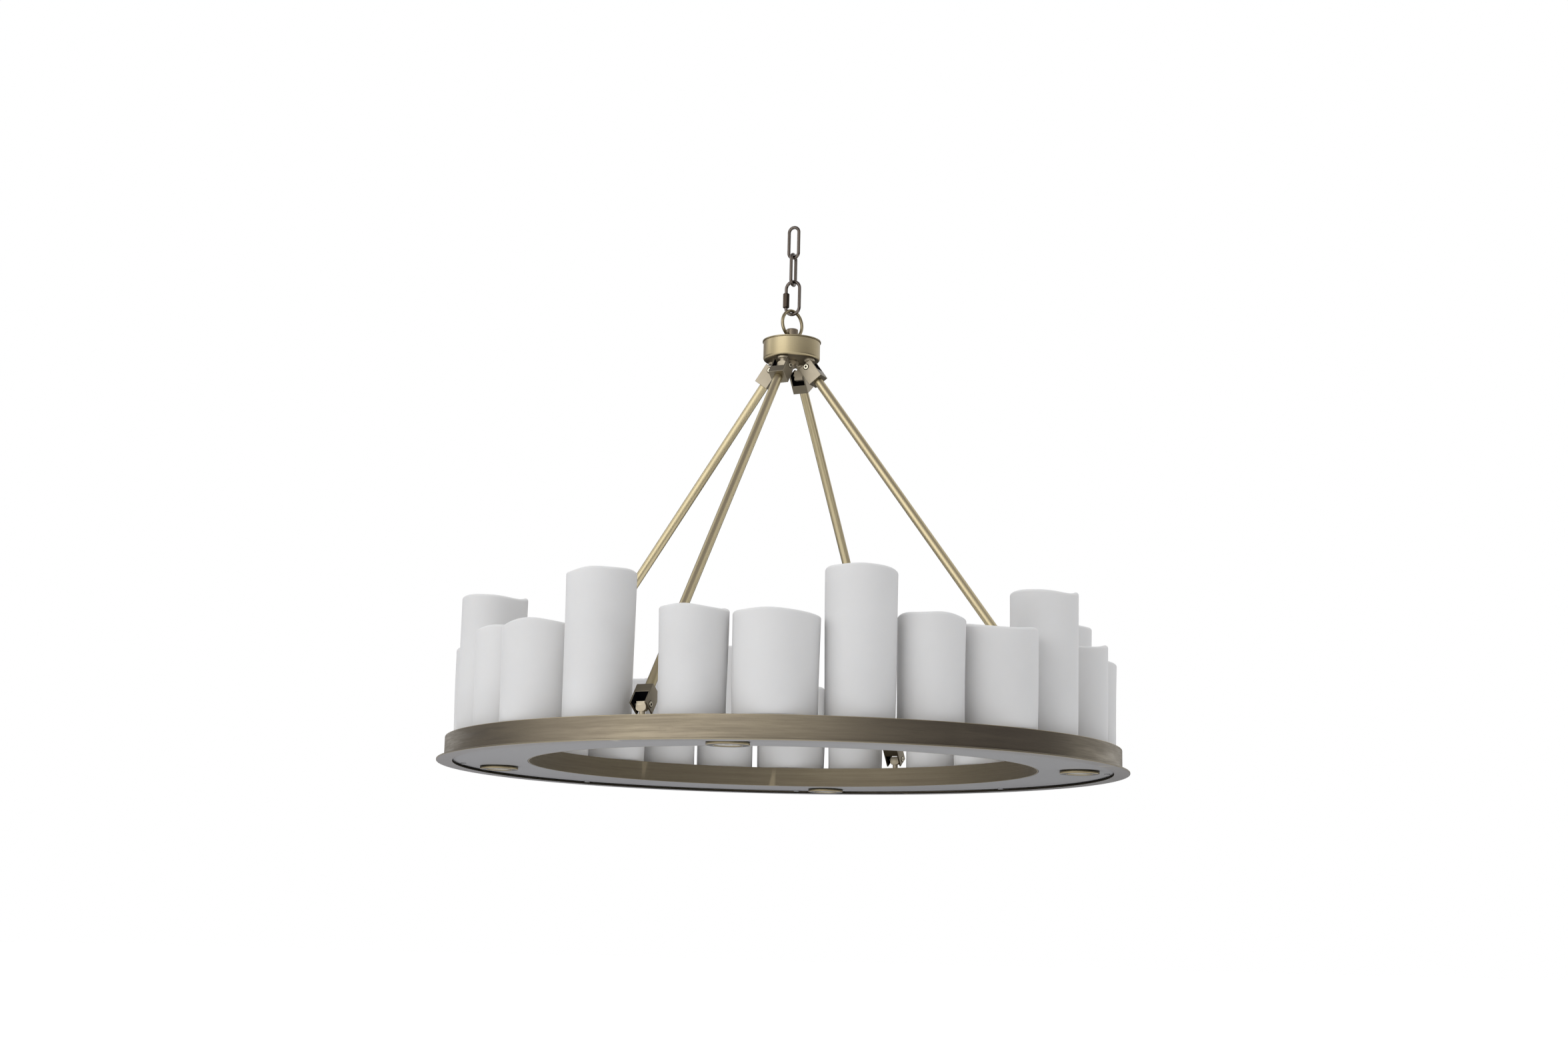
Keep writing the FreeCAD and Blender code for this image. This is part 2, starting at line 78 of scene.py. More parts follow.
rod_count = 4
joint_circle_r = 27 * MM
upper_pivot = cup_bottom - 12.5 * MM
lower_pivot = plate_top + 17 * MM
rod_slope = math.atan2(joint_circle_r - middle_r, upper_pivot - lower_pivot)
pivot_distance = math.hypot(middle_r - joint_circle_r, upper_pivot - lower_pivot)
print("Tray radius %.0f mm, cup radius %.1f mm, rods %.1f degrees from upright" % (
    band_r / MM, cup_r / MM, -math.degrees(rod_slope)))

# %% [markdown]
# ## The camera
#
# The camera hangs below the level of the glasses and looks slightly up, so the underside of the
# tray and its open middle show. Its place and focal length were worked out from the ellipses of
# the ring, and are written here as an azimuth, a distance, a depth below the tray and three small
# turns.

# %% Camera
image_width = 2352
focal_pixels = 3313
sensor_width = 36.0
camera_azimuth = math.radians(-64.7)
camera_distance = 2.9053
camera_below_tray = 0.2206
yaw, pitch, roll = -0.0019, 0.1879, 0.0211

forward = Vector((math.sin(yaw) * math.cos(pitch), math.cos(yaw) * math.cos(pitch),
                  math.sin(pitch)))
level_right = Vector((math.cos(yaw), -math.sin(yaw), 0))
level_up = level_right.cross(forward)
camera_right = math.cos(roll) * level_right + math.sin(roll) * level_up
camera_up = -math.sin(roll) * level_right + math.cos(roll) * level_up
looking = Matrix((camera_right, camera_up, -forward)).transposed().to_4x4()
standing = Matrix.Translation((0, -camera_distance, tray_bottom - camera_below_tray))

camera_data = bpy.data.cameras.new("Camera")
camera_data.sensor_width = sensor_width
camera_data.lens = focal_pixels * sensor_width / image_width
camera = bpy.data.objects.new("Camera", camera_data)
bpy.context.scene.collection.objects.link(camera)
camera.matrix_world = Matrix.Rotation(camera_azimuth + TURN / 4, 4, "Z") @ standing @ looking
bpy.context.scene.camera = camera
bpy.context.scene.view_settings.view_transform = "Standard"
print("Camera lens %.1f mm at %s" % (camera_data.lens, tuple(round(v, 2) for v in camera.location)))

# %% [markdown]
# ## Small helpers for nodes
#
# Every light and material below is a tree of nodes. `joined` adds a node and connects it in one
# line, `maths` adds a maths node and hands back its result, and `mixed` blends two colours.


# %% Node helpers
def joined(tree, kind, settings=(), **wires):
    """Add a node, set its properties, and connect its inputs by name or by number, as i0 or i1."""
    node = tree.nodes.new(kind)
    for key, value in settings:
        setattr(node, key, value)
    for key, source in wires.items():
        by_number = key[0] == "i" and key[1:].isdigit()
        socket = node.inputs[int(key[1:]) if by_number else key.replace("_", " ")]
        if isinstance(source, bpy.types.NodeSocket):
            tree.links.new(source, socket)
        else:
            socket.default_value = source
    return node


def maths(tree, way, *values):
    """The result of a maths node for its one, two or three values."""
    wires = {"i%d" % i: value for i, value in enumerate(values)}
    return joined(tree, "ShaderNodeMath", [("operation", way)], **wires).outputs[0]


def mixed(tree, share, first, second):
    """A colour between two, each given as a socket or as three numbers."""
    ends = [end if isinstance(end, bpy.types.NodeSocket) else end + (1,)
            for end in (first, second)]
    return joined(tree, "ShaderNodeMixRGB", Fac=share, Color1=ends[0], Color2=ends[1]).outputs[0]


# %% [markdown]
# ## Floor, backdrop and light
#
# Metal only looks like metal when it has something to mirror. The backdrop is white to the camera,
# in mirrors and through glass, and weaker where it lights matt surfaces. Large soft lamps add the
# broad highlights. Dim flags, which only mirror rays can meet, give the turned pieces their darker
# flanks: three at the sides, one overhead, and three low ones behind that the grey panel and the
# underside of the hub mirror at a flat angle. The floor keeps a soft shadow.

# %% World
soft_strength = 0.60
world = bpy.data.worlds.new("Studio")
bpy.context.scene.world = world
world.use_nodes = True
world_tree = world.node_tree
world_tree.nodes.clear()
rays = joined(world_tree, "ShaderNodeLightPath").outputs
seen = maths(world_tree, "MAXIMUM", rays["Is Camera Ray"], rays["Is Glossy Ray"])
seen_or_through = maths(world_tree, "MAXIMUM", seen, rays["Is Transmission Ray"])
soft_light = joined(world_tree, "ShaderNodeBackground",
                    Color=(0.97, 0.98, 1.0, 1), Strength=soft_strength)
white_backdrop = joined(world_tree, "ShaderNodeBackground", Color=(1, 1, 1, 1), Strength=1.0)
either = joined(world_tree, "ShaderNodeMixShader", Fac=seen_or_through,
                i1=soft_light.outputs[0], i2=white_backdrop.outputs[0])
joined(world_tree, "ShaderNodeOutputWorld", Surface=either.outputs[0])
print("World: white to the camera, strength %.2f on matt surfaces" % soft_strength)

# %% Floor
floor_drop = 0.52
floor_size = 60.0
floor_glow = 0.66
bpy.ops.object.select_all(action="DESELECT")
bpy.ops.mesh.primitive_plane_add(size=floor_size, location=(0, 0, tray_bottom - floor_drop))
floor = bpy.context.object
floor.name = "studio_floor"

floor_paint = bpy.data.materials.new("Pale floor")
floor_paint.use_nodes = True
floor_tree = floor_paint.node_tree
matt_floor = floor_tree.nodes["Principled BSDF"]
matt_floor.inputs["Base Color"].default_value = (0.9, 0.9, 0.9, 1)
matt_floor.inputs["Roughness"].default_value = 1.0
matt_floor.inputs["Specular IOR Level"].default_value = 0.0
rays = joined(floor_tree, "ShaderNodeLightPath").outputs
seen = maths(floor_tree, "MAXIMUM", rays["Is Camera Ray"], rays["Is Glossy Ray"])
pale_glow = joined(floor_tree, "ShaderNodeEmission",
                   Strength=maths(floor_tree, "MULTIPLY", seen, floor_glow))
together = joined(floor_tree, "ShaderNodeAddShader",
                  i0=matt_floor.outputs[0], i1=pale_glow.outputs[0])
floor_tree.links.new(together.outputs[0], floor_tree.nodes["Material Output"].inputs["Surface"])
floor.data.materials.append(floor_paint)
print("Floor %.2f m below the tray" % floor_drop)

# %% Lamps and flags
lamp_target = Vector((0, 0, -0.45))


def round_camera(angle, distance, height):
    """A place seen from above: the angle is counted from the camera's side, rightwards positive."""
    azimuth = camera_azimuth + math.radians(angle)
    return Vector((distance * math.cos(azimuth), distance * math.sin(azimuth), height))


def aim(thing, target):
    thing.rotation_euler = (target - thing.location).to_track_quat("-Z", "Y").to_euler()


def soft_lamp(name, place, size, power, in_mirrors=True):
    lamp_data = bpy.data.lights.new(name, "AREA")
    lamp_data.shape = "RECTANGLE"
    lamp_data.size, lamp_data.size_y = size
    lamp_data.energy = power
    lamp_light = bpy.data.objects.new(name, lamp_data)
    bpy.context.scene.collection.objects.link(lamp_light)
    lamp_light.location = place
    lamp_light.visible_camera = False
    lamp_light.visible_glossy = in_mirrors
    aim(lamp_light, lamp_target)
    print("Lamp %s, %.0f W" % (name, power))


def dim_flag(name, place, size, strength, aim_height):
    """A dim plane that only mirror rays meet, turned to a point on the middle axis."""
    cloth = bpy.data.materials.new(name)
    cloth.use_nodes = True
    surface = cloth.node_tree.nodes["Principled BSDF"]
    surface.inputs["Base Color"].default_value = (0, 0, 0, 1)
    surface.inputs["Specular IOR Level"].default_value = 0.0
    surface.inputs["Emission Color"].default_value = (0.98, 0.95, 1.08, 1)
    surface.inputs["Emission Strength"].default_value = strength
    bpy.ops.object.select_all(action="DESELECT")
    bpy.ops.mesh.primitive_plane_add(size=1, location=place)
    flag = bpy.context.object
    flag.name = name
    flag.scale = (size[0], size[1], 1)
    aim(flag, Vector((0, 0, aim_height)))
    flag.data.materials.append(cloth)
    for kind in ("camera", "diffuse", "transmission", "volume_scatter", "shadow"):
        setattr(flag, "visible_" + kind, False)


soft_lamp("Left window", round_camera(-42, 3.6, 0.3), (3.2, 2.8), 34)
soft_lamp("Left strip", round_camera(-104, 3.0, 1.0), (0.5, 1.3), 4)
soft_lamp("Front fill", round_camera(-4, 4.0, -0.3), (2.2, 1.8), 3.5)
soft_lamp("Right fill", round_camera(80, 3.4, 0.0), (2.4, 2.4), 9, in_mirrors=False)
soft_lamp("Overhead", Vector((0, 0, 2.4)), (2.6, 2.6), 23, in_mirrors=False)
dim_flag("flag_right", round_camera(62, 3.0, -0.7), (6.0, 2.7), 0.18, -0.7)
dim_flag("flag_far_left", round_camera(-140, 2.2, 0.35), (1.3, 1.5), 0.35, -0.1)
dim_flag("flag_left", round_camera(-106, 3.0, -0.85), (2.2, 2.5), 0.22, -0.85)
dim_flag("flag_above", round_camera(8, 0.9, 2.2), (3.4, 3.4), 0.42, -0.3)
dim_flag("flag_low_right", round_camera(145, 1.5, -1.05), (1.8, 0.42), 0.06, -1.05)
dim_flag("flag_low_left", round_camera(-160, 1.5, -1.05), (1.9, 0.42), 0.26, -1.05)
dim_flag("flag_under_hub", round_camera(180, 1.2, -0.42), (2.0, 0.76), 0.03, -0.42)

# %% [markdown]
# ## Shared surface effects
#
# All the brass here was brushed, then lacquered in an antique tone. Brushing leaves fine lines
# along the way the piece turned, handling leaves soft patches, and edges are rubbed lighter.
# More than one metal uses these effects, so each is a node group with named sockets: it is built
# once, and every material sets its own values.


# %% A helper for node groups
def new_group(name, inputs, outputs):
    group = bpy.data.node_groups.new(name, "ShaderNodeTree")
    for label, kind, value in inputs:
        socket = group.interface.new_socket(label, in_out="INPUT", socket_type="NodeSocket" + kind)
        socket.default_value = value
    for label in outputs:
        group.interface.new_socket(label, in_out="OUTPUT", socket_type="NodeSocketFloat")
    entry = group.nodes.new("NodeGroupInput")
    leave = group.nodes.new("NodeGroupOutput")
    return group, entry.outputs, leave.inputs


# %% Brushed lines
brushed_lines, given, result = new_group(
    "Brushed lines",
    [("Vector", "Vector", (0, 0, 0)), ("Stretch", "Vector", (20, 20, 1500)),
     ("Contrast", "Float", 0.5)],
    ["Tone", "Height"])
broad_share = 0.23
stretched = joined(brushed_lines, "ShaderNodeVectorMath", [("operation", "MULTIPLY")],
                   i0=given["Vector"], i1=given["Stretch"])
fine_lines = joined(brushed_lines, "ShaderNodeTexNoise", Vector=stretched.outputs[0],
                    Scale=1.0, Detail=5.0, Roughness=0.65)
spread_out = joined(brushed_lines, "ShaderNodeVectorMath", [("operation", "SCALE")],
                    i0=stretched.outputs[0], Scale=broad_share)
broad_lines = joined(brushed_lines, "ShaderNodeTexNoise", Vector=spread_out.outputs[0],
                     Scale=1.0, Detail=2.0, Roughness=0.5)
both = maths(brushed_lines, "ADD", fine_lines.outputs["Fac"], broad_lines.outputs["Fac"])
centred = maths(brushed_lines, "SUBTRACT", both, 1.0)
strong = maths(brushed_lines, "MULTIPLY_ADD", centred, given["Contrast"], 0.5)
clear = joined(brushed_lines, "ShaderNodeClamp", Value=strong)
brushed_lines.links.new(clear.outputs[0], result["Tone"])
brushed_lines.links.new(fine_lines.outputs["Fac"], result["Height"])
print("Group made:", brushed_lines.name)

# %% Handling patches
handling, given, result = new_group(
    "Handling patches",
    [("Vector", "Vector", (0, 0, 0)), ("Size", "Float", 40.0), ("Speck size", "Float", 900.0)],
    ["Patches", "Specks"])
clouds = joined(handling, "ShaderNodeTexNoise", Vector=given["Vector"],
                Scale=given["Size"], Detail=4.0, Roughness=0.55)
patches = joined(handling, "ShaderNodeMapRange", Value=clouds.outputs["Fac"],
                 From_Min=0.38, From_Max=0.64)
dots = joined(handling, "ShaderNodeTexNoise", Vector=given["Vector"],
              Scale=given["Speck size"], Detail=1.0)
specks = joined(handling, "ShaderNodeMapRange", Value=dots.outputs["Fac"],
                From_Min=0.66, From_Max=0.74)
handling.links.new(patches.outputs[0], result["Patches"])
handling.links.new(specks.outputs[0], result["Specks"])
print("Group made:", handling.name)

# %% Rubbed edges
rubbed_edges, given, result = new_group("Rubbed edges", [("Reach", "Float", 0.06)], ["Edge"])
edge_start = 0.52
shape_info = joined(rubbed_edges, "ShaderNodeNewGeometry")
edge_mask = joined(rubbed_edges, "ShaderNodeMapRange", Value=shape_info.outputs["Pointiness"],
                   From_Min=edge_start,
                   From_Max=maths(rubbed_edges, "ADD", edge_start, given["Reach"]))
rubbed_edges.links.new(edge_mask.outputs[0], result["Edge"])
print("Group made:", rubbed_edges.name)

# %% [markdown]
# ## Metals
#
# Every metal is one function with four colours: the ground tone, the darker tone between the
# brushed lines, the tone of old patches and the rubbed tone of edges. Roughness and a faint bump
# follow the same lines. The pattern reads `own_place`, an attribute that each piece stores before
# it is put in its place, so the lines run round a turned piece wherever it ends up.


# %% Metal function
def lacquered_metal(name, ground, between, old, rubbed, rough, stretch, contrast=0.5,
                    patch_size=30.0, brushed=0.0, aging=0.45):
    bump_depth = 0.02 * MM
    material = bpy.data.materials.new(name)
    material.use_nodes = True
    tree = material.node_tree
    surface = tree.nodes["Principled BSDF"]
    surface.inputs["Metallic"].default_value = 1.0
    surface.inputs["Anisotropic"].default_value = brushed
    place = joined(tree, "ShaderNodeAttribute", [("attribute_name", "own_place")])
    lines = joined(tree, "ShaderNodeGroup", [("node_tree", brushed_lines)],
                   Vector=place.outputs["Vector"], Stretch=stretch, Contrast=contrast)
    marks = joined(tree, "ShaderNodeGroup", [("node_tree", handling)],
                   Vector=place.outputs["Vector"], Size=patch_size)
    edges = joined(tree, "ShaderNodeGroup", [("node_tree", rubbed_edges)])
    tone = mixed(tree, lines.outputs["Tone"], between, ground)
    patchy = mixed(tree, maths(tree, "MULTIPLY", marks.outputs["Patches"], aging), tone, old)
    speck_tone = tuple(0.4 * v for v in old)
    speck_share = maths(tree, "MULTIPLY", marks.outputs["Specks"], 0.8 * aging)
    dotted = mixed(tree, speck_share, patchy, speck_tone)
    worn = mixed(tree, edges.outputs["Edge"], dotted, rubbed)
    tree.links.new(worn, surface.inputs["Base Color"])
    line_rough = joined(tree, "ShaderNodeMapRange", Value=lines.outputs["Tone"],
                        To_Min=rough + 0.07, To_Max=rough - 0.05)
    full_rough = maths(tree, "MULTIPLY_ADD", marks.outputs["Patches"], 0.06, line_rough.outputs[0])
    tree.links.new(full_rough, surface.inputs["Roughness"])
    bump = joined(tree, "ShaderNodeBump", Strength=0.35, Distance=bump_depth,
                  Height=lines.outputs["Height"])
    tree.links.new(bump.outputs[0], surface.inputs["Normal"])
    print("Metal:", name)
    return material


# %% [markdown]
# ## A second colour on part of a piece
#
# Some pieces aren't one tone all over. Most of these second colours are painted light and shade:
# painted shade inside the fork slots, on the forks' open sides and rod ends, in the screw sockets,
# under the cup and on the downlights' upper walls, painted shadows round the pivot screws and on
# the flange's ledge, and painted highlights along the flange's outer edge and the outer band's top.
# A mask is worked out from the place that a piece stored for itself, and `repaint` mixes the
# second colour in where the mask is 1.


# %% Masks and repainting
def own_axes(tree):
    """The piece's own coordinates, apart."""
    place = joined(tree, "ShaderNodeAttribute", [("attribute_name", "own_place")])
    return joined(tree, "ShaderNodeSeparateXYZ", Vector=place.outputs["Vector"]).outputs


def reach_of(tree, first, second):
    """The distance that two coordinates make together."""
    flat = joined(tree, "ShaderNodeCombineXYZ", X=first, Y=second)
    length = joined(tree, "ShaderNodeVectorMath", [("operation", "LENGTH")], i0=flat.outputs[0])
    return length.outputs["Value"]


def repaint(material, mask, colour, dull=False):
    """Mix a colour over the base colour where the mask is 1. If dull, nothing is mirrored there."""
    tree = material.node_tree
    surface = tree.nodes["Principled BSDF"]
    base = surface.inputs["Base Color"]
    tree.links.new(mixed(tree, mask, base.links[0].from_socket, colour), base)
    if dull:
        rest = maths(tree, "SUBTRACT", 1.0, mask)
        tree.links.new(rest, surface.inputs["Metallic"])
        tree.links.new(maths(tree, "MULTIPLY", rest, 0.5), surface.inputs["Specular IOR Level"])


# %% The brasses and bronzes
spun_lines = (25.0, 25.0, 2600.0)
drawn_lines = (2600.0, 2600.0, 14.0)
round_lines = (300.0, 300.0, 1500.0)
hub_brass = lacquered_metal(
    "Antique brass, spun",
    (0.40, 0.335, 0.205), (0.345, 0.284, 0.17), (0.325, 0.268, 0.165), (0.50, 0.43, 0.28),
    0.33, spun_lines, contrast=0.35, patch_size=22.0, brushed=0.45, aging=0.2)
lid_brass = lacquered_metal(
    "Antique brass, lid",
    (0.235, 0.197, 0.125), (0.20, 0.166, 0.105), (0.18, 0.152, 0.098), (0.32, 0.27, 0.17),
    0.34, spun_lines, contrast=0.35, patch_size=22.0, brushed=0.3, aging=0.2)
rod_brass = lacquered_metal(
    "Antique brass, drawn",
    (0.47, 0.40, 0.248), (0.405, 0.343, 0.21), (0.38, 0.318, 0.20), (0.54, 0.465, 0.30),
    0.32, drawn_lines, contrast=0.3, patch_size=18.0, aging=0.15)
fork_brass = lacquered_metal(
    "Antique brass, milled",
    (0.215, 0.188, 0.143), (0.195, 0.169, 0.129), (0.18, 0.152, 0.114), (0.42, 0.37, 0.28),
    0.38, drawn_lines, contrast=0.25, patch_size=60.0, aging=0.15)
knuckle_brass = lacquered_metal(
    "Satin brass, knuckles",
    (0.54, 0.47, 0.35), (0.49, 0.425, 0.315), (0.44, 0.375, 0.275), (0.66, 0.59, 0.45),
    0.5, round_lines, contrast=0.3, patch_size=60.0, aging=0.2)
knuckle_brass.node_tree.nodes["Principled BSDF"].inputs["Metallic"].default_value = 0.6
screw_brass = lacquered_metal(
    "Bright brass, pivot screws",
    (0.72, 0.67, 0.53), (0.64, 0.58, 0.45), (0.52, 0.46, 0.35), (0.84, 0.78, 0.62),
    0.26, round_lines, contrast=0.3, patch_size=90.0, aging=0.2)
turned_brass = lacquered_metal(
    "Turned brass",
    (0.36, 0.30, 0.185), (0.29, 0.235, 0.145), (0.25, 0.20, 0.13), (0.46, 0.39, 0.25),
    0.3, round_lines, contrast=0.4, patch_size=90.0)
bezel_brass = lacquered_metal(
    "Bezel brass",
    (0.36, 0.30, 0.183), (0.30, 0.245, 0.15), (0.255, 0.21, 0.13), (0.40, 0.34, 0.21),
    0.34, round_lines, contrast=0.4, patch_size=90.0)
boss_brass = lacquered_metal(
    "Boss brass, dark",
    (0.22, 0.185, 0.143), (0.175, 0.145, 0.11), (0.165, 0.128, 0.092), (0.36, 0.30, 0.21),
    0.34, round_lines, contrast=0.5, patch_size=90.0)
tray_brass = lacquered_metal(
    "Tray bronze, outside",
    (0.192, 0.166, 0.123), (0.115, 0.098, 0.073), (0.12, 0.098, 0.086), (0.34, 0.29, 0.20),
    0.34, (25.0, 25.0, 560.0), contrast=2.6, patch_size=7.0, brushed=0.5)
flange_bronze = lacquered_metal(
    "Tray bronze, flange",
    (0.183, 0.176, 0.173), (0.154, 0.147, 0.144), (0.144, 0.138, 0.135), (0.32, 0.29, 0.24),
    0.36, (14.0, 14.0, 700.0), contrast=0.8, patch_size=9.0, brushed=0.3, aging=0.3)
inner_bronze = lacquered_metal(
    "Tray bronze, inside",
    (0.16, 0.137, 0.094), (0.105, 0.086, 0.059), (0.127, 0.105, 0.078), (0.26, 0.22, 0.15),
    0.46, (20.0, 20.0, 700.0), contrast=2.0, patch_size=9.0)
chain_bronze = lacquered_metal(
    "Chain bronze",
    (0.105, 0.082, 0.065), (0.075, 0.058, 0.046), (0.06, 0.045, 0.036), (0.15, 0.12, 0.09),
    0.27, (500.0, 500.0, 500.0), contrast=0.5, patch_size=120.0, aging=0.3)
chain_bronze.node_tree.nodes["Principled BSDF"].inputs["Coat Weight"].default_value = 0.7
chain_bronze.node_tree.nodes["Principled BSDF"].inputs["Coat Roughness"].default_value = 0.12
sleeve_bronze = lacquered_metal(
    "Sleeve bronze",
    (0.05, 0.039, 0.031), (0.038, 0.029, 0.023), (0.034, 0.026, 0.02), (0.12, 0.095, 0.072),
    0.3, (500.0, 500.0, 500.0), contrast=0.5, patch_size=120.0, aging=0.3)
ring_brass = lacquered_metal(
    "Hanger ring brass",
    (0.34, 0.29, 0.185), (0.27, 0.225, 0.14), (0.22, 0.18, 0.115), (0.38, 0.325, 0.21),
    0.26, (400.0, 400.0, 400.0), contrast=0.5, patch_size=100.0)

# %% [markdown]
# ## Paint, glass and plain materials
#
# The panel under the tray is matt grey paint with a faint orange-peel. The glasses are opal: white
# all through, matt outside, a little light passing under the surface, and never quite even. The
# holders, lamps and small steel pieces follow with one or two patterns each.


# %% Plain material function
def plain_finish(name, light, dark, rough, size, bump_depth, metallic=0.0, bump_size=900.0):
    """Two near tones in soft clouds, a roughness that follows them, and a fine bump."""
    material = bpy.data.materials.new(name)
    material.use_nodes = True
    tree = material.node_tree
    surface = tree.nodes["Principled BSDF"]
    surface.inputs["Metallic"].default_value = metallic
    place = joined(tree, "ShaderNodeTexCoord").outputs["Object"]
    clouds = joined(tree, "ShaderNodeTexNoise", Vector=place, Scale=size, Detail=5.0, Roughness=0.6)
    spread = joined(tree, "ShaderNodeMapRange", Value=clouds.outputs["Fac"],
                    From_Min=0.35, From_Max=0.65)
    tree.links.new(mixed(tree, spread.outputs[0], dark, light), surface.inputs["Base Color"])
    shine = joined(tree, "ShaderNodeMapRange", Value=clouds.outputs["Fac"],
                   To_Min=rough - 0.06, To_Max=rough + 0.06)
    tree.links.new(shine.outputs[0], surface.inputs["Roughness"])
    grain = joined(tree, "ShaderNodeTexNoise", Vector=place, Scale=bump_size, Detail=2.0)
    bump = joined(tree, "ShaderNodeBump", Strength=0.4, Distance=bump_depth * MM,
                  Height=grain.outputs["Fac"])
    tree.links.new(bump.outputs[0], surface.inputs["Normal"])
    print("Finish:", name)
    return material


# %% Paint, glass, steel and plastics
panel_paint = plain_finish(
    "Grey panel paint", (0.209, 0.207, 0.21), (0.192, 0.19, 0.193), 0.46, 9.0, 0.03)
opal_glass = plain_finish(
    "Opal glass", (0.77, 0.765, 0.76), (0.735, 0.73, 0.725), 0.56, 7.0, 0.05, bump_size=60.0)
opal_surface = opal_glass.node_tree.nodes["Principled BSDF"]
opal_surface.inputs["Subsurface Weight"].default_value = 0.25
opal_surface.inputs["Subsurface Radius"].default_value = (1.0, 0.9, 0.8)
opal_surface.inputs["Subsurface Scale"].default_value = 0.006
opal_surface.inputs["IOR"].default_value = 1.5
opal_surface.inputs["Specular IOR Level"].default_value = 0.35
lens_glass = plain_finish(
    "Frosted lens", (0.66, 0.64, 0.58), (0.58, 0.56, 0.50), 0.28, 60.0, 0.04)
lamp_glass = plain_finish(
    "Frosted lamp glass", (0.84, 0.83, 0.80), (0.78, 0.77, 0.73), 0.3, 80.0, 0.02)
white_ceramic = plain_finish(
    "White ceramic", (0.80, 0.79, 0.76), (0.74, 0.73, 0.70), 0.22, 120.0, 0.02)
zinc_steel = plain_finish(
    "Zinc plated steel", (0.60, 0.60, 0.58), (0.44, 0.44, 0.43), 0.34, 180.0, 0.02, metallic=1.0)
grey_screw = plain_finish(
    "Painted screw", (0.36, 0.36, 0.365), (0.30, 0.30, 0.305), 0.48, 150.0, 0.02)
module_metal = plain_finish(
    "Cast aluminium", (0.62, 0.62, 0.62), (0.5, 0.5, 0.5), 0.42, 60.0, 0.05, metallic=1.0)
terminal_plastic = plain_finish(
    "Terminal plastic", (0.80, 0.79, 0.74), (0.72, 0.71, 0.66), 0.45, 90.0, 0.03)

# %% [markdown]
# ## Helpers for modelling as by hand
#
# An operator acts on everything that is selected, so each helper starts from a clean selection.
# Turned pieces are made as on a lathe: a circle is added at its size and height, then extruded and
# resized circle by circle along the profile. Milled pieces start from a block and are cut. Soft
# edges come last, because a sharp edge never catches light.


# %% Selecting
def pick(piece):
    bpy.ops.object.select_all(action="DESELECT")
    piece.select_set(True)
    bpy.context.view_layer.objects.active = piece


def select_where(kind, test):
    """In edit mode, select only the vertices, edges or faces that pass a test."""
    bpy.ops.mesh.select_mode(type=kind)
    bpy.ops.mesh.select_all(action="DESELECT")
    shape = bmesh.from_edit_mesh(bpy.context.edit_object.data)
    for item in {"VERT": shape.verts, "EDGE": shape.edges, "FACE": shape.faces}[kind]:
        if test(item):
            item.select_set(True)
    bmesh.update_edit_mesh(bpy.context.edit_object.data)


# %% Turning, blocks and cutting
def turned_piece(name, profile, steps=64, ring=False):
    """A lathe: one circle per profile point. A ring joins its last circle to its first."""
    bpy.ops.object.select_all(action="DESELECT")
    radius, height = profile[0]
    bpy.ops.mesh.primitive_circle_add(vertices=steps, radius=radius, location=(0, 0, height))
    piece = bpy.context.object
    piece.name = name
    bpy.ops.object.transform_apply()
    bpy.ops.object.mode_set(mode="EDIT")
    bpy.ops.mesh.select_all(action="SELECT")
    for next_radius, next_height in profile[1:]:
        rise = (0, 0, next_height - height)
        bpy.ops.mesh.extrude_edges_move(TRANSFORM_OT_translate={"value": rise})
        share = next_radius / radius
        bpy.ops.transform.resize(value=(share, share, 1), center_override=(0, 0, next_height))
        radius, height = next_radius, next_height
    select_where("EDGE", lambda edge: edge.is_boundary)
    if ring:
        bpy.ops.mesh.bridge_edge_loops()
    else:
        bpy.ops.mesh.fill_holes(sides=0)
    bpy.ops.mesh.select_all(action="SELECT")
    bpy.ops.mesh.normals_make_consistent(inside=False)
    bpy.ops.object.mode_set(mode="OBJECT")
    return piece


def arc(centre_r, centre_z, radius, first, last, steps=6):
    """Profile points on an arc, in degrees: 0 points outwards and 90 up."""
    angles = [math.radians(first + (last - first) * i / steps) for i in range(steps + 1)]
    return [(centre_r + radius * math.cos(angle), centre_z + radius * math.sin(angle))
            for angle in angles]


def block(name, size, centre):
    bpy.ops.object.select_all(action="DESELECT")
    bpy.ops.mesh.primitive_cube_add(size=1, location=centre, scale=size)
    piece = bpy.context.object
    piece.name = name
    bpy.ops.object.transform_apply()
    return piece


def prism(name, corners, radius, low, high, axis="Z", centre=(0, 0, 0)):
    """A straight prism or, with many corners, a drill: a cutter that is used up."""
    bpy.ops.object.select_all(action="DESELECT")
    bpy.ops.mesh.primitive_cylinder_add(vertices=corners, radius=radius, depth=high - low,
                                        location=(0, 0, (low + high) / 2))
    piece = bpy.context.object
    piece.name = name
    bpy.ops.object.transform_apply()
    if axis == "Y":
        piece.data.transform(Matrix.Rotation(TURN / 4, 4, "X"))
    piece.data.transform(Matrix.Translation(centre))
    return piece


def cut(piece, tool, way="DIFFERENCE"):
    pick(piece)
    work = piece.modifiers.new("Cut", "BOOLEAN")
    work.operation = way
    work.object = tool
    work.solver = "EXACT"
    bpy.ops.object.modifier_apply(modifier=work.name)
    bpy.data.objects.remove(tool)


# %% Soft edges, copies and fitting
def soften(piece, width, steps=2, sharper_than=35):
    """Round the sharp edges, then keep the flat faces flat in their shading."""
    smooth_below = math.radians(48)
    pick(piece)
    edge = piece.modifiers.new("Soft edges", "BEVEL")
    edge.width = width
    edge.segments = steps
    edge.limit_method = "ANGLE"
    edge.angle_limit = math.radians(sharper_than)
    bpy.ops.object.modifier_apply(modifier=edge.name)
    bpy.ops.object.shade_smooth_by_angle(angle=smooth_below)
    flat = piece.modifiers.new("Flat faces", "WEIGHTED_NORMAL")
    flat.keep_sharp = True
    bpy.ops.object.modifier_apply(modifier=flat.name)


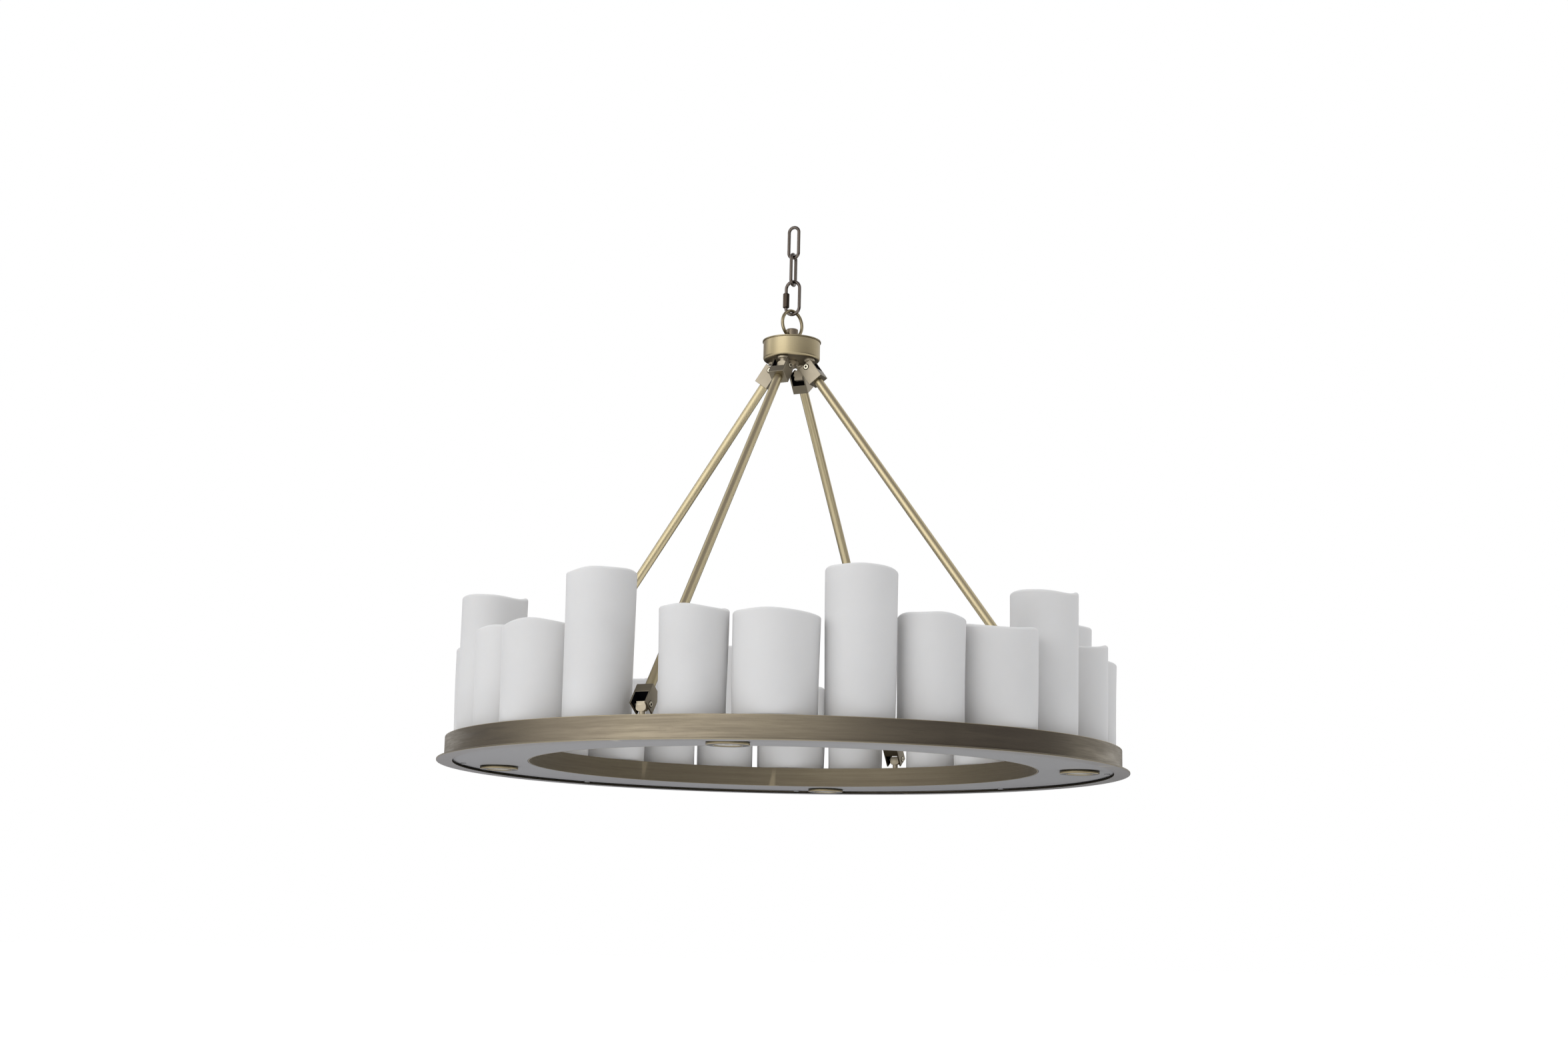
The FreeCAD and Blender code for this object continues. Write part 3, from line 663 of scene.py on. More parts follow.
def keep_own_place(piece):
    own = piece.data.attributes.new("own_place", "FLOAT_VECTOR", "POINT")
    own.data.foreach_set("vector", [value for vertex in piece.data.vertices for value in vertex.co])


def set_out(piece, places):
    """Put a copy of the piece at each place and join the copies into one object."""
    keep_own_place(piece)
    copies = []
    for place in places[1:]:
        copy = piece.copy()
        copy.data = piece.data.copy()
        copy.data.transform(place)
        bpy.context.scene.collection.objects.link(copy)
        copies.append(copy)
    piece.data.transform(places[0])
    pick(piece)
    for copy in copies:
        copy.select_set(True)
    if copies:
        bpy.ops.object.join()
    return piece


def round_axis(count, first=0.0, start=Matrix.Identity(4)):
    """Places on a circle round the middle axis, each a turn of the first one."""
    return [Matrix.Rotation(first + TURN / count * i, 4, "Z") @ start for i in range(count)]


def fit(piece, material, body, node):
    """Give the finished piece its material, its body and the working node that it stands for."""
    if "own_place" not in piece.data.attributes:
        keep_own_place(piece)
    piece.data.materials.clear()
    piece.data.materials.append(material)
    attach(piece, body)
    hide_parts(node)
    print("%s: %d faces, for %s" % (piece.name, len(piece.data.polygons), node))


# %% [markdown]
# ## The chain
#
# A chain link is one loop of round wire with straight sides. A torus already has both bends, so we
# add one standing up and move its upper half by the length of the straight. Turning the torus by
# half a step first keeps its section circles clear of the line where the halves part.


# %% Link function
def standing_torus(name, radius, steps, height=0.0, first_turn=0.0):
    """A torus of the chain's wire that stands in the XZ plane."""
    bpy.ops.object.select_all(action="DESELECT")
    bpy.ops.mesh.primitive_torus_add(
        major_radius=radius, minor_radius=wire_r, major_segments=steps, minor_segments=24,
        location=(0, 0, height), rotation=(TURN / 4, first_turn, 0))
    piece = bpy.context.object
    piece.name = name
    bpy.ops.object.transform_apply()
    return piece


def wire_link(name, length, width, crown):
    """An oval link in the XZ plane; crown is the height of the top bend's wire centre."""
    steps = 64
    bend_r = width / 2 - wire_r
    straight = length - 2 * wire_r - 2 * bend_r
    lower_centre = crown - bend_r - straight
    piece = standing_torus(name, bend_r, steps, lower_centre, TURN / steps / 2)
    bpy.ops.object.mode_set(mode="EDIT")
    select_where("VERT", lambda vertex: vertex.co.z > lower_centre)
    bpy.ops.transform.translate(value=(0, 0, straight))
    bpy.ops.object.mode_set(mode="OBJECT")
    bpy.ops.object.shade_smooth()
    return piece


# %% Top link and lower link
link_length = link_high.z - link_low.z
link_width = link_high.x - link_low.x
top_link = wire_link("link_on_hook", link_length, link_width, link_high.z - wire_r)
fit(top_link, chain_bronze, "top_link", "chain_link_top")

lower_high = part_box("chain_link_lower")[1].z
lower_link = wire_link("link_below", link_length, link_width, lower_high - wire_r)
set_out(lower_link, [Matrix.Rotation(TURN / 4, 4, "Z")])
fit(lower_link, chain_bronze, "lower_link", "chain_link_lower")

# %% [markdown]
# ## The quick link
#
# The larger link opens: its left side wire is parted, and a hexagonal sleeve nut screws over the
# gap. We cut the wire with two bisects, take out what is between them, and close both ends. The
# sleeve is a six-sided bar turned down at both ends, so we keep what a bar and a turned blank
# share.

# %% Quick link body
quick_low, quick_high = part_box("quick_link")
sleeve_low, sleeve_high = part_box("quick_link_sleeve")
gate_low = sleeve_low.z + 0.6 * MM
gate_high = gate_low + 5 * MM
quick = wire_link("quick_link_body", quick_high.z - quick_low.z, quick_high.x - quick_low.x,
                  quick_high.z - wire_r)
pick(quick)
bpy.ops.object.mode_set(mode="EDIT")
for height in (gate_low, gate_high):
    bpy.ops.mesh.select_all(action="SELECT")
    bpy.ops.mesh.bisect(plane_co=(0, 0, height), plane_no=(0, 0, 1))
select_where("FACE", lambda face: face.calc_center_median().x < 0
             and gate_low < face.calc_center_median().z < gate_high)
bpy.ops.mesh.delete(type="FACE")
select_where("EDGE", lambda edge: edge.is_boundary)
bpy.ops.mesh.fill_holes(sides=0)
bpy.ops.object.mode_set(mode="OBJECT")
soften(quick, 0.25 * MM, sharper_than=60)
fit(quick, chain_bronze, "quick_link_frame", "quick_link")

# %% Sleeve nut
sleeve_x = (sleeve_low.x + sleeve_high.x) / 2
sleeve_length = sleeve_high.z - sleeve_low.z
across_flats = sleeve_high.y - sleeve_low.y
corner_r = across_flats / math.sqrt(3)
turned_down = 1.2 * MM
sleeve_play = 0.1 * MM
sleeve = turned_piece("sleeve_nut", [
    (corner_r - turned_down, 0), (corner_r, turned_down),
    (corner_r, sleeve_length - turned_down), (corner_r - turned_down, sleeve_length)], steps=48)
cut(sleeve, prism("six_sided_bar", 6, corner_r, 0, sleeve_length), way="INTERSECT")
cut(sleeve, prism("wire_drill", 32, wire_r + sleeve_play, -MM, sleeve_length + MM))
sleeve.data.transform(Matrix.Rotation(TURN / 12, 4, "Z"))
soften(sleeve, 0.25 * MM)
set_out(sleeve, [Matrix.Translation((sleeve_x, 0, sleeve_low.z))])
fit(sleeve, sleeve_bronze, "sleeve_nut", "quick_link_sleeve")

# %% [markdown]
# ## Hanger ring and boss
#
# The chandelier hangs on a plain ring of round wire through a turned boss. The ring is a torus,
# turned about the upright axis to the angle that its hinge gives. The boss has a rounded crown, a
# cross bore for the ring, and a stud that goes down through the hub.

# %% Hanger ring
ring_angle = math.radians(70)
ring_low, ring_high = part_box("hanger_ring")
ring_r = (ring_high.z - ring_low.z) / 2 - wire_r
ring_centre = (ring_low.z + ring_high.z) / 2
hanger = standing_torus("round_hanger_ring", ring_r, 96)
bpy.ops.object.shade_smooth()
set_out(hanger, [Matrix.Translation((0, 0, ring_centre)) @ Matrix.Rotation(ring_angle, 4, "Z")])
fit(hanger, ring_brass, "suspension_ring", "hanger_ring")

# %% Boss
boss_low, boss_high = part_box("hanger_boss")
boss_r = 8.25 * MM
stud_r = 5 * MM
stud_hole_r = stud_r + 0.1 * MM
crown_round = 1.6 * MM
foot_chamfer = 0.3 * MM
boss = turned_piece("turned_boss", [
    (stud_r, boss_low.z), (stud_r, lid_top), (boss_r - foot_chamfer, lid_top),
    (boss_r, lid_top + foot_chamfer)]
    + arc(boss_r - crown_round, boss_high.z - crown_round, crown_round, 0, 90, 5))
bore_r = 3.675 * MM
bore_height = boss_high.z - 10 * MM
drill = prism("ring_drill", 40, bore_r, -2 * boss_r, 2 * boss_r, axis="Y")
drill.data.transform(Matrix.Translation((0, 0, bore_height))
                     @ Matrix.Rotation(ring_angle - TURN / 4, 4, "Z"))
cut(boss, drill)
soften(boss, 0.35 * MM)
fit(boss, boss_brass, "chandelier", "hanger_boss")

# %% [markdown]
# ## The hub
#
# The hub is a spun cup, open at the top, under a thin lid that overhangs it a little. Spinning
# leaves a round bottom corner and fine lines round the wall. Both are turned pieces; the cup's
# corner is an arc in the profile.

# %% Cup and lid
cup_wall = 1.6 * MM
cup_corner = 4 * MM
corner_at = (cup_r - cup_corner, cup_bottom + cup_corner)
cup = turned_piece("spun_cup", [(stud_hole_r, cup_bottom)]
                   + arc(*corner_at, cup_corner, -90, 0)
                   + [(cup_r, cup_high.z), (cup_r - cup_wall, cup_high.z)]
                   + arc(*corner_at, cup_corner - cup_wall, 0, -90)
                   + [(stud_hole_r, cup_bottom + cup_wall)], steps=144, ring=True)
soften(cup, 0.3 * MM)
fit(cup, hub_brass, "chandelier", "hub_cup")
hub_tree = hub_brass.node_tree
# Painted shade: the cup's underside is painted dark olive, where shade falls under the hub.
underside = maths(hub_tree, "LESS_THAN", own_axes(hub_tree)["Z"], cup_bottom + 0.6 * MM)
repaint(hub_brass, underside, (0.13, 0.105, 0.065))

lid_low, lid_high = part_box("hub_lid")
lid_r = lid_high.x
lip_r = cup_r - cup_wall - 0.1 * MM
lip_inner_r = lip_r - 1.4 * MM
lid = turned_piece("hub_lid_plate", [
    (lid_r, cup_high.z), (lid_r, lid_high.z), (stud_hole_r, lid_high.z),
    (stud_hole_r, cup_high.z), (lip_inner_r, cup_high.z), (lip_inner_r, lid_low.z),
    (lip_r, lid_low.z), (lip_r, cup_high.z)], steps=144, ring=True)
gland_low, gland_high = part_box("cable_gland")
gland_x, gland_y = (gland_low.x + gland_high.x) / 2, (gland_low.y + gland_high.y) / 2
gland_hole_r = 4.6 * MM
cut(lid, prism("gland_drill", 48, gland_hole_r, cup_high.z - MM, lid_high.z + MM,
               centre=(gland_x, gland_y, 0)))
soften(lid, 0.3 * MM)
fit(lid, lid_brass, "chandelier", "hub_lid")

# %% Hub nut and cable gland
nut_low, nut_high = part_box("hub_nut")
nut_corner_r = nut_high.x
nut_flat_r = nut_corner_r * math.sqrt(3) / 2
nut_chamfer = 0.8 * MM
dome_top, dome_height = nut_low.z + 3 * MM, 5.5 * MM
dome = [(nut_flat_r * math.cos(math.radians(a)), dome_top - dome_height * math.sin(math.radians(a)))
        for a in (80, 62, 44, 26, 10)]
hub_nut = turned_piece("domed_hub_nut", dome + [
    (nut_corner_r, dome_top + nut_chamfer), (nut_corner_r, nut_high.z - nut_chamfer),
    (nut_flat_r, nut_high.z)], steps=96)
cut(hub_nut, prism("nut_bar", 6, nut_corner_r, nut_low.z - 4 * MM, nut_high.z), way="INTERSECT")
soften(hub_nut, 0.25 * MM)
# The nut takes the boss's darker brass, which stands in for the shade under the cup: painted shade.
fit(hub_nut, boss_brass, "chandelier", "hub_nut")

gland_r = 4.5 * MM
gland_bore_r = 3 * MM
gland_flange_r, gland_flange_top = 6 * MM, lid_top + 1.5 * MM
gland = turned_piece("lead_gland", [
    (gland_bore_r, gland_low.z), (gland_r, gland_low.z), (gland_r, lid_top),
    (gland_flange_r, lid_top), (gland_flange_r, gland_flange_top), (gland_r, gland_flange_top),
    (gland_r, gland_high.z - 2.2 * MM), (gland_r - 0.5 * MM, gland_high.z - 1.8 * MM),
    (gland_r, gland_high.z - 1.4 * MM), (gland_r, gland_high.z), (gland_bore_r, gland_high.z)],
    steps=48, ring=True)
soften(gland, 0.2 * MM)
set_out(gland, [Matrix.Translation((gland_x, gland_y, 0))])
fit(gland, turned_brass, "chandelier", "cable_gland")

# %% [markdown]
# ## The joints
#
# Each rod ends in a forked block that holds a knuckle with a pivot screw. The knuckle is turned: a
# flat end, a slight waist, a bowl-shaped shoulder, then neck, collar and stud. Two flats are milled
# on its head, which leaves the outline of the bowl on them. The fork is a block with a slot across
# it, painted near-black inside as painted shade, with painted shade on its open sides and rod end
# and a painted shadow round each pivot screw. Each is modelled upright about its pivot, once, and
# copied to the hub and the tray, where the forks lean with the rods.


# %% Knuckles
def knuckle(name, reach, shift=0.0, extra=0.0):
    """The shift moves the head towards the collar; the extra length goes on its flat end."""
    head_r, neck_r, collar_r, bolt_r = 7.6 * MM, 3.7 * MM, 7 * MM, 3 * MM
    flat_end, shoulder, bowl = shift - 5.2 * MM, shift + 6.4 * MM, 4.2 * MM
    collar_low, collar_round = reach - 2.4 * MM, 0.7 * MM
    waist = [(0.75, 1.8), (0.6, 3.4), (0.15, 5.4), (0, 6.6)]
    piece = turned_piece(name, [(head_r - 0.6 * MM, flat_end - extra)]
                         + [(head_r - inset * MM, flat_end + rise * MM) for inset, rise in waist]
                         + arc(head_r - bowl, shoulder - bowl, bowl, 12, 84)
                         + [(neck_r, shoulder + 0.1 * MM), (neck_r, collar_low)]
                         + arc(collar_r - collar_round, collar_low + collar_round, collar_round,
                               -90, 0, 3)
                         + [(collar_r, reach), (bolt_r, reach), (bolt_r, reach + 6.5 * MM)],
                         steps=48)
    flat_depth = 3.6 * MM
    for side in (-1, 1):
        mill = block("flat_mill", (head_r, 3 * head_r, shoulder - flat_end + extra + MM),
                     (side * (flat_depth + head_r / 2), 0, (shoulder + flat_end - extra - MM) / 2))
        cut(piece, mill)
    return piece


upside_down = Matrix.Rotation(TURN / 2, 4, "Y")
at_hub = Matrix.Translation((joint_circle_r, 0, upper_pivot))
at_tray = Matrix.Translation((middle_r, 0, lower_pivot))
upper_knuckle = knuckle("knuckles_under_hub", cup_bottom - upper_pivot, extra=2.2 * MM)
soften(upper_knuckle, 0.3 * MM)
set_out(upper_knuckle, round_axis(rod_count, start=at_hub))
fit(upper_knuckle, knuckle_brass, "chandelier", "upper_knuckles")
lower_knuckle = knuckle("knuckles_on_tray", lower_pivot - plate_top, shift=1.5 * MM)
soften(lower_knuckle, 0.3 * MM)
set_out(lower_knuckle, round_axis(rod_count, start=at_tray @ upside_down))
fit(lower_knuckle, knuckle_brass, "chandelier", "lower_knuckles")

# %% Forks
fork_depth, fork_width, fork_length = 21 * MM, 22 * MM, 28 * MM
fork_low = -4.6 * MM
slot_width, slot_depth = 17.6 * MM, 16 * MM


def fork(name, longer=0.0):
    """The prongs may be a little longer; bridge and slot bottom stay where they are."""
    piece = block(name, (fork_depth, fork_width, fork_length + longer),
                  (0, 0, fork_low + (fork_length - longer) / 2))
    cut(piece, block("slot_mill", (2 * fork_depth, slot_width, 2 * slot_depth), (0, 0, fork_low)))
    soften(piece, 0.5 * MM, steps=3)
    return piece


slot_skin, side_skin, pin_shadow_r = 0.05 * MM, 0.1 * MM, 4.4 * MM
fork_tree = fork_brass.node_tree
axes = own_axes(fork_tree)
between_prongs = maths(fork_tree, "LESS_THAN", maths(fork_tree, "ABSOLUTE", axes["Y"]),
                       slot_width / 2 + slot_skin)
above_bridge = maths(fork_tree, "LESS_THAN", axes["Z"], fork_low + slot_depth + slot_skin)
open_side = maths(fork_tree, "GREATER_THAN", maths(fork_tree, "ABSOLUTE", axes["X"]),
                  fork_depth / 2 - side_skin)
rod_end_side = maths(fork_tree, "GREATER_THAN", axes["Z"], fork_low + fork_length - side_skin)
pin_shadow = maths(fork_tree, "LESS_THAN", reach_of(fork_tree, axes["X"], axes["Z"]), pin_shadow_r)
# Painted shade: the fork's open sides and its rod end are painted darker than its broad faces.
repaint(fork_brass, maths(fork_tree, "MAXIMUM", open_side, rod_end_side), (0.165, 0.144, 0.105))
# Painted shadow: a dark ring round each pivot screw's head.
repaint(fork_brass, pin_shadow, (0.03, 0.025, 0.018))
# Painted shade: the inside of the slot is painted near-black and mirrors nothing, standing in for
# the deep shade between the prongs.
repaint(fork_brass, maths(fork_tree, "MULTIPLY", between_prongs, above_bridge),
        (0.006, 0.006, 0.007), dull=True)

down_the_rod = Matrix.Rotation(TURN / 2 + rod_slope, 4, "Y")
up_the_rod = Matrix.Rotation(rod_slope, 4, "Y")
upper_fork = set_out(fork("forks_under_hub"), round_axis(rod_count, start=at_hub @ down_the_rod))
fit(upper_fork, fork_brass, "chandelier", "upper_forks")
lower_fork = set_out(fork("forks_on_tray", longer=1.2 * MM),
                     round_axis(rod_count, start=at_tray @ up_the_rod))
fit(lower_fork, fork_brass, "chandelier", "lower_forks")

# %% Pivot screws
screw_head_r, head_height, socket_depth = 3.4 * MM, 1.0 * MM, 0.8 * MM
shank_r, screw_chamfer, key_r, key_shadow_r = 2.5 * MM, 0.4 * MM, 1.6 * MM, 1.7 * MM
half_grip = fork_width / 2
tip = half_grip + head_height
screw = turned_piece("pivot_screw_set", [
    (screw_head_r - screw_chamfer, -tip), (screw_head_r, -tip + screw_chamfer),
    (screw_head_r, -half_grip), (shank_r, -half_grip), (shank_r, half_grip),
    (screw_head_r, half_grip), (screw_head_r, tip - screw_chamfer),
    (screw_head_r - screw_chamfer, tip)], steps=40)
for side in (-1, 1):
    cut(screw, prism("hex_key", 6, key_r, side * tip - socket_depth, side * tip + socket_depth))
soften(screw, 0.12 * MM)
across = Matrix.Rotation(TURN / 4, 4, "X")
set_out(screw, round_axis(rod_count, start=at_hub @ across)
        + round_axis(rod_count, start=at_tray @ across))
fit(screw, screw_brass, "chandelier", "pivot_screws")
screw_tree = screw_brass.node_tree
axes = own_axes(screw_tree)
# Painted shade: the hex socket in each screw head is painted near-black.
socket_shade = maths(screw_tree, "LESS_THAN", reach_of(screw_tree, axes["X"], axes["Y"]), key_shadow_r)
repaint(screw_brass, socket_shade, (0.02, 0.018, 0.015))

# %% [markdown]
# ## The rods
#
# Four straight tubes carry the tray. Each is turned at its real length, with a small chamfer and a
# spigot inside each fork. It is drawn tube, so its lines run lengthways, unlike those of the cup.

# %% Four rods
rod_r, spigot_r, spigot_length = 6 * MM, 4 * MM, 9 * MM
rod_start = fork_low + fork_length
rod_end = pivot_distance - rod_start
for i in range(rod_count):
    tube = turned_piece("tube_%d" % (i + 1), [
        (spigot_r, rod_start - spigot_length), (spigot_r, rod_start), (rod_r, rod_start),
        (rod_r, rod_end), (spigot_r, rod_end), (spigot_r, rod_end + spigot_length)], steps=48)
    soften(tube, 0.5 * MM, steps=3)
    set_out(tube, [Matrix.Rotation(TURN / rod_count * i, 4, "Z") @ at_tray @ up_the_rod])
    fit(tube, rod_brass, "chandelier", "rod_%d" % (i + 1))

# %% [markdown]
# ## The ring tray
#
# The tray is folded from sheet: two upright bands, a plate on top and a flange round the bottom.
# They are turned with many steps, because the camera sees the outer band from end to end, and any
# flat would show in its long highlight.

# %% Bands
ring_steps = 360


def sheet_ring(name, inner_r, outer_r, low, high):
    """A ring with a rectangular section, turned in the tray's many steps."""
    return turned_piece(name, [(inner_r, low), (outer_r, low), (outer_r, high), (inner_r, high)],
                        steps=ring_steps, ring=True)


band_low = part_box("outer_band")[0].z
outer_band = sheet_ring("outer_band_skin", band_r - sheet, band_r, band_low, plate_top)
soften(outer_band, 0.5 * MM)
fit(outer_band, tray_brass, "chandelier", "outer_band")
inner_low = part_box("inner_band")[0].z
inner_band = sheet_ring("inner_band_skin", hole_r, hole_r + sheet, inner_low, plate_top)
soften(inner_band, 0.4 * MM)
fit(inner_band, inner_bronze, "chandelier", "inner_band")

# %% Flange and top plate
flange_low, flange_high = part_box("bottom_flange")
flange_ledge = 9.5 * MM
ledge_r = band_r - sheet - flange_ledge
flange = sheet_ring("rolled_flange", ledge_r, flange_high.x, flange_low.z, flange_high.z)
soften(flange, 0.6 * MM, steps=3)
fit(flange, flange_bronze, "chandelier", "bottom_flange")
flange_tree = flange_bronze.node_tree
axes = own_axes(flange_tree)
reach = reach_of(flange_tree, axes["X"], axes["Y"])
# Painted highlight: the flange's outer edge is painted lighter.
edge_highlight = maths(flange_tree, "GREATER_THAN", reach, flange_high.x - 0.4 * MM)
repaint(flange_bronze, edge_highlight, (0.23, 0.20, 0.145))
# Painted shadow: the inner edge of the flange's ledge is painted near-black and mirrors nothing.
ledge_shadow = maths(flange_tree, "LESS_THAN", reach, ledge_r + 0.5 * MM)
repaint(flange_bronze, ledge_shadow, (0.03, 0.026, 0.018), dull=True)
top_plate = sheet_ring("top_plate_skin", hole_r + sheet, band_r - sheet, plate_top - sheet,
                       plate_top)
soften(top_plate, 0.2 * MM)
fit(top_plate, tray_brass, "chandelier", "top_plate")
tray_tree = tray_brass.node_tree
axes = own_axes(tray_tree)
# Painted highlight: a lighter line along the top of the outer band's outside.
highlight_near_top = maths(tray_tree, "GREATER_THAN", axes["Z"], plate_top - 0.7 * MM)
at_outside = maths(tray_tree, "GREATER_THAN", reach_of(tray_tree, axes["X"], axes["Y"]),
                   band_r - MM)
repaint(tray_brass, maths(tray_tree, "MULTIPLY", highlight_near_top, at_outside), (0.36, 0.31, 0.21))

# %% [markdown]
# ## Panel and downlights
#
# A grey panel closes the tray from below and stops a dark gap short of the flange. Four low round
# brass downlights stand under it, each with a neck through the panel and a frosted lens that lies
# behind its opening. The panel is a turned ring, and four drills cut the holes. Small painted
# screws hold it.

# %% Panel
panel_low, panel_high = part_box("bottom_panel")
downlight_angle = math.radians(15.8)
panel_fit, neck_hole_r = 0.5 * MM, 22.1 * MM
panel = sheet_ring("grey_panel", hole_r + sheet + panel_fit, panel_high.x, panel_low.z,
                   panel_high.z)
for i in range(rod_count):
    hole = prism("neck_drill", 64, neck_hole_r, panel_low.z - MM, panel_high.z + MM,
                 centre=(middle_r, 0, 0))
    hole.data.transform(Matrix.Rotation(downlight_angle + TURN / rod_count * i, 4, "Z"))
    cut(panel, hole)
soften(panel, 0.2 * MM)
fit(panel, panel_paint, "chandelier", "bottom_panel")

# %% Bezels, lenses and screws
bezel_low, bezel_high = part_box("downlight_bezels")
lens_low, lens_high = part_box("downlight_lenses")
bezel_r, bezel_neck_r, seat_r, opening_r = 25.5 * MM, 22 * MM, 18 * MM, 16.5 * MM
edge_height = panel_low.z - 3.8 * MM
downlight_places = round_axis(rod_count, first=downlight_angle,
                         start=Matrix.Translation((middle_r, 0, 0)))
bezel = turned_piece("downlight_bezel_set", [
    (opening_r, bezel_low.z), (bezel_r - 1.4 * MM, bezel_low.z),
    (bezel_r - 0.4 * MM, bezel_low.z + 0.3 * MM), (bezel_r, edge_height), (bezel_r, panel_low.z),
    (bezel_neck_r, panel_low.z), (bezel_neck_r, bezel_high.z), (seat_r, bezel_high.z),
    (seat_r, lens_low.z), (opening_r, lens_low.z)], steps=96, ring=True)
soften(bezel, 0.35 * MM, steps=3)
set_out(bezel, downlight_places)
fit(bezel, bezel_brass, "chandelier", "downlight_bezels")
bezel_tree = bezel_brass.node_tree
axes = own_axes(bezel_tree)
# Painted shade: the upper part of each downlight's wall, next to the panel, is painted dark.
shade_under_panel = maths(bezel_tree, "GREATER_THAN", axes["Z"], panel_low.z - 1.9 * MM)
repaint(bezel_brass, shade_under_panel, (0.04, 0.034, 0.022))
on_face = maths(bezel_tree, "LESS_THAN", axes["Z"], bezel_low.z + 0.25 * MM)
outside_opening = maths(bezel_tree, "GREATER_THAN", reach_of(bezel_tree, axes["X"], axes["Y"]),
                        opening_r + 0.9 * MM)
repaint(bezel_brass, maths(bezel_tree, "MULTIPLY", on_face, outside_opening),
        (0.22, 0.215, 0.21), dull=True)

lens_r, lens_bulge = seat_r - 0.1 * MM, 0.05 * MM
lens = turned_piece("lens_set", [
    (opening_r * 0.5, lens_low.z), (opening_r, lens_low.z + lens_bulge),
    (lens_r, lens_low.z + lens_bulge), (lens_r, lens_high.z)], steps=64)
soften(lens, 0.15 * MM)
set_out(lens, downlight_places)
fit(lens, lens_glass, "chandelier", "downlight_lenses")

# %% [markdown]
# ## The glass shades
#
# Twenty-four glasses in three sizes stand on the tray like candles of different heights. They are
# mould blown: the wall is a little uneven, and the rim rises and falls as if it had melted, with a
# round outer edge. We turn each size once, with an extra circle wherever the form bends, then move
# the vertices by a few waves that grow towards the rim. Every glass is then turned to an angle of
# its own, and a few rims are raised or lowered by about a millimetre, so they don't look alike.

# %% Waves of the melted rim
glass_wall, glass_floor, nipple_hole_r = 3.5 * MM, 4 * MM, 5.1 * MM
two_lobe_wave, three_lobe_wave = 2.0 * MM, 1.2 * MM


def melt(piece, height, base_r, seed):
    """Lift the rim in two and three lobes, and let the wall wander by tenths of a millimetre."""
    for vertex in piece.data.vertices:
        x, y, z = vertex.co
        angle = math.atan2(y, x)
        share = max(0.0, z / height) ** 3
        vertex.co.z += share * (two_lobe_wave * math.cos(2 * angle)
                                + three_lobe_wave * math.cos(3 * angle)
                                + 0.35 * MM * math.cos(5 * angle + seed))
        wander = 0.35 * MM * math.sin(2 * angle + seed + 2.2 * z / height)
        wander += 0.2 * MM * math.sin(3 * angle - seed + 5.0 * z / height)
        grown = 1 + wander * min(1.0, z / (0.2 * height)) / base_r
        if z > glass_floor:
            vertex.co.x *= grown
            vertex.co.y *= grown


# %% One glass of each size
def glass(name, diameter, height, seed):
    base_r = diameter / 2
    inner_r = base_r - glass_wall
    flare, foot, rim_round, inner_rim = 1.2 * MM, 2.0 * MM, 3.6 * MM, 0.6 * MM
    outside = [(base_r + flare * t, height * t) for t in (0.1, 0.25, 0.4, 0.55, 0.7, 0.82, 0.91)]
    inside = [(inner_r, height * t) for t in (0.9, 0.75, 0.5, 0.25, 0.1)]
    rim_r = base_r + flare - rim_round
    piece = turned_piece(name, [(nipple_hole_r, 0), (base_r * 0.6, 0)]
                         + arc(base_r - foot, foot, foot, -90, 0, 4) + outside
                         + arc(rim_r, height - rim_round, rim_round, 0, 90, 7)
                         + arc(inner_r + inner_rim, height - inner_rim, inner_rim, 90, 180, 3)
                         + inside
                         + [(inner_r, glass_floor + 2 * MM),
                            (inner_r - 0.6 * MM, glass_floor + 0.6 * MM),
                            (inner_r - 2 * MM, glass_floor), (nipple_hole_r, glass_floor)],
                         steps=96, ring=True)
    melt(piece, height, base_r, seed)
    pick(piece)
    bpy.ops.object.shade_smooth_by_angle(angle=math.radians(60))
    return piece


glass_sizes = {"narrow": (79 * MM, 126 * MM), "wide": (99 * MM, 120 * MM),
               "tall": (82 * MM, 178 * MM)}
glass_order = ["narrow", "wide", "tall", "narrow", "wide", "tall"]
glass_turns = [
    [10, 60, 150, 80, 200, 30],
    [120, 250, 40, 300, 90, 210],
    [200, 20, 195, 260, 35, 255],
    [140, 140, 145, 135, 255, 50],
]
glass_lifts = [
    [0, 0, 0, 0, 0, 0],
    [0, 0, 0, 0, 0, 0],
    [0, 0, -1.0, 0, 0.8, -0.8],
    [1.5, 1.2, -0.8, 1.3, 1.0, -1.0],
]
patterns = {kind: glass("pattern_" + kind, *size, seed)
            for seed, (kind, size) in enumerate(glass_sizes.items())}
print("Patterns:", ", ".join(patterns))


# %% Twenty-four glasses in place
def place_on_tray(node):
    """The angle of a node's middle, and its place on the top plate."""
    low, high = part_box(node)
    centre = (low + high) / 2
    angle = math.atan2(centre.y, centre.x)
    spot = (middle_r * math.cos(angle), middle_r * math.sin(angle), plate_top)
    return angle, Matrix.Translation(spot)


for quarter, (turns, lifts) in enumerate(zip(glass_turns, glass_lifts)):
    for i, (kind, turn, lift) in enumerate(zip(glass_order, turns, lifts)):
        label = "%s_%02d" % (kind, quarter * len(glass_order) + i + 1)
        place_angle, place = place_on_tray("shade_" + label)
        shade = patterns[kind].copy()
        shade.data = patterns[kind].data.copy()
        shade.name = "glass_" + label
        bpy.context.scene.collection.objects.link(shade)
        for vertex in shade.data.vertices:
            vertex.co.z += lift * MM * max(0.0, vertex.co.z / glass_sizes[kind][1]) ** 3
        own_turn = Matrix.Rotation(place_angle + math.radians(turn), 4, "Z")
        set_out(shade, [place @ own_turn])
        fit(shade, opal_glass, "chandelier", "shade_" + label)
for pattern in patterns.values():
    bpy.data.objects.remove(pattern)

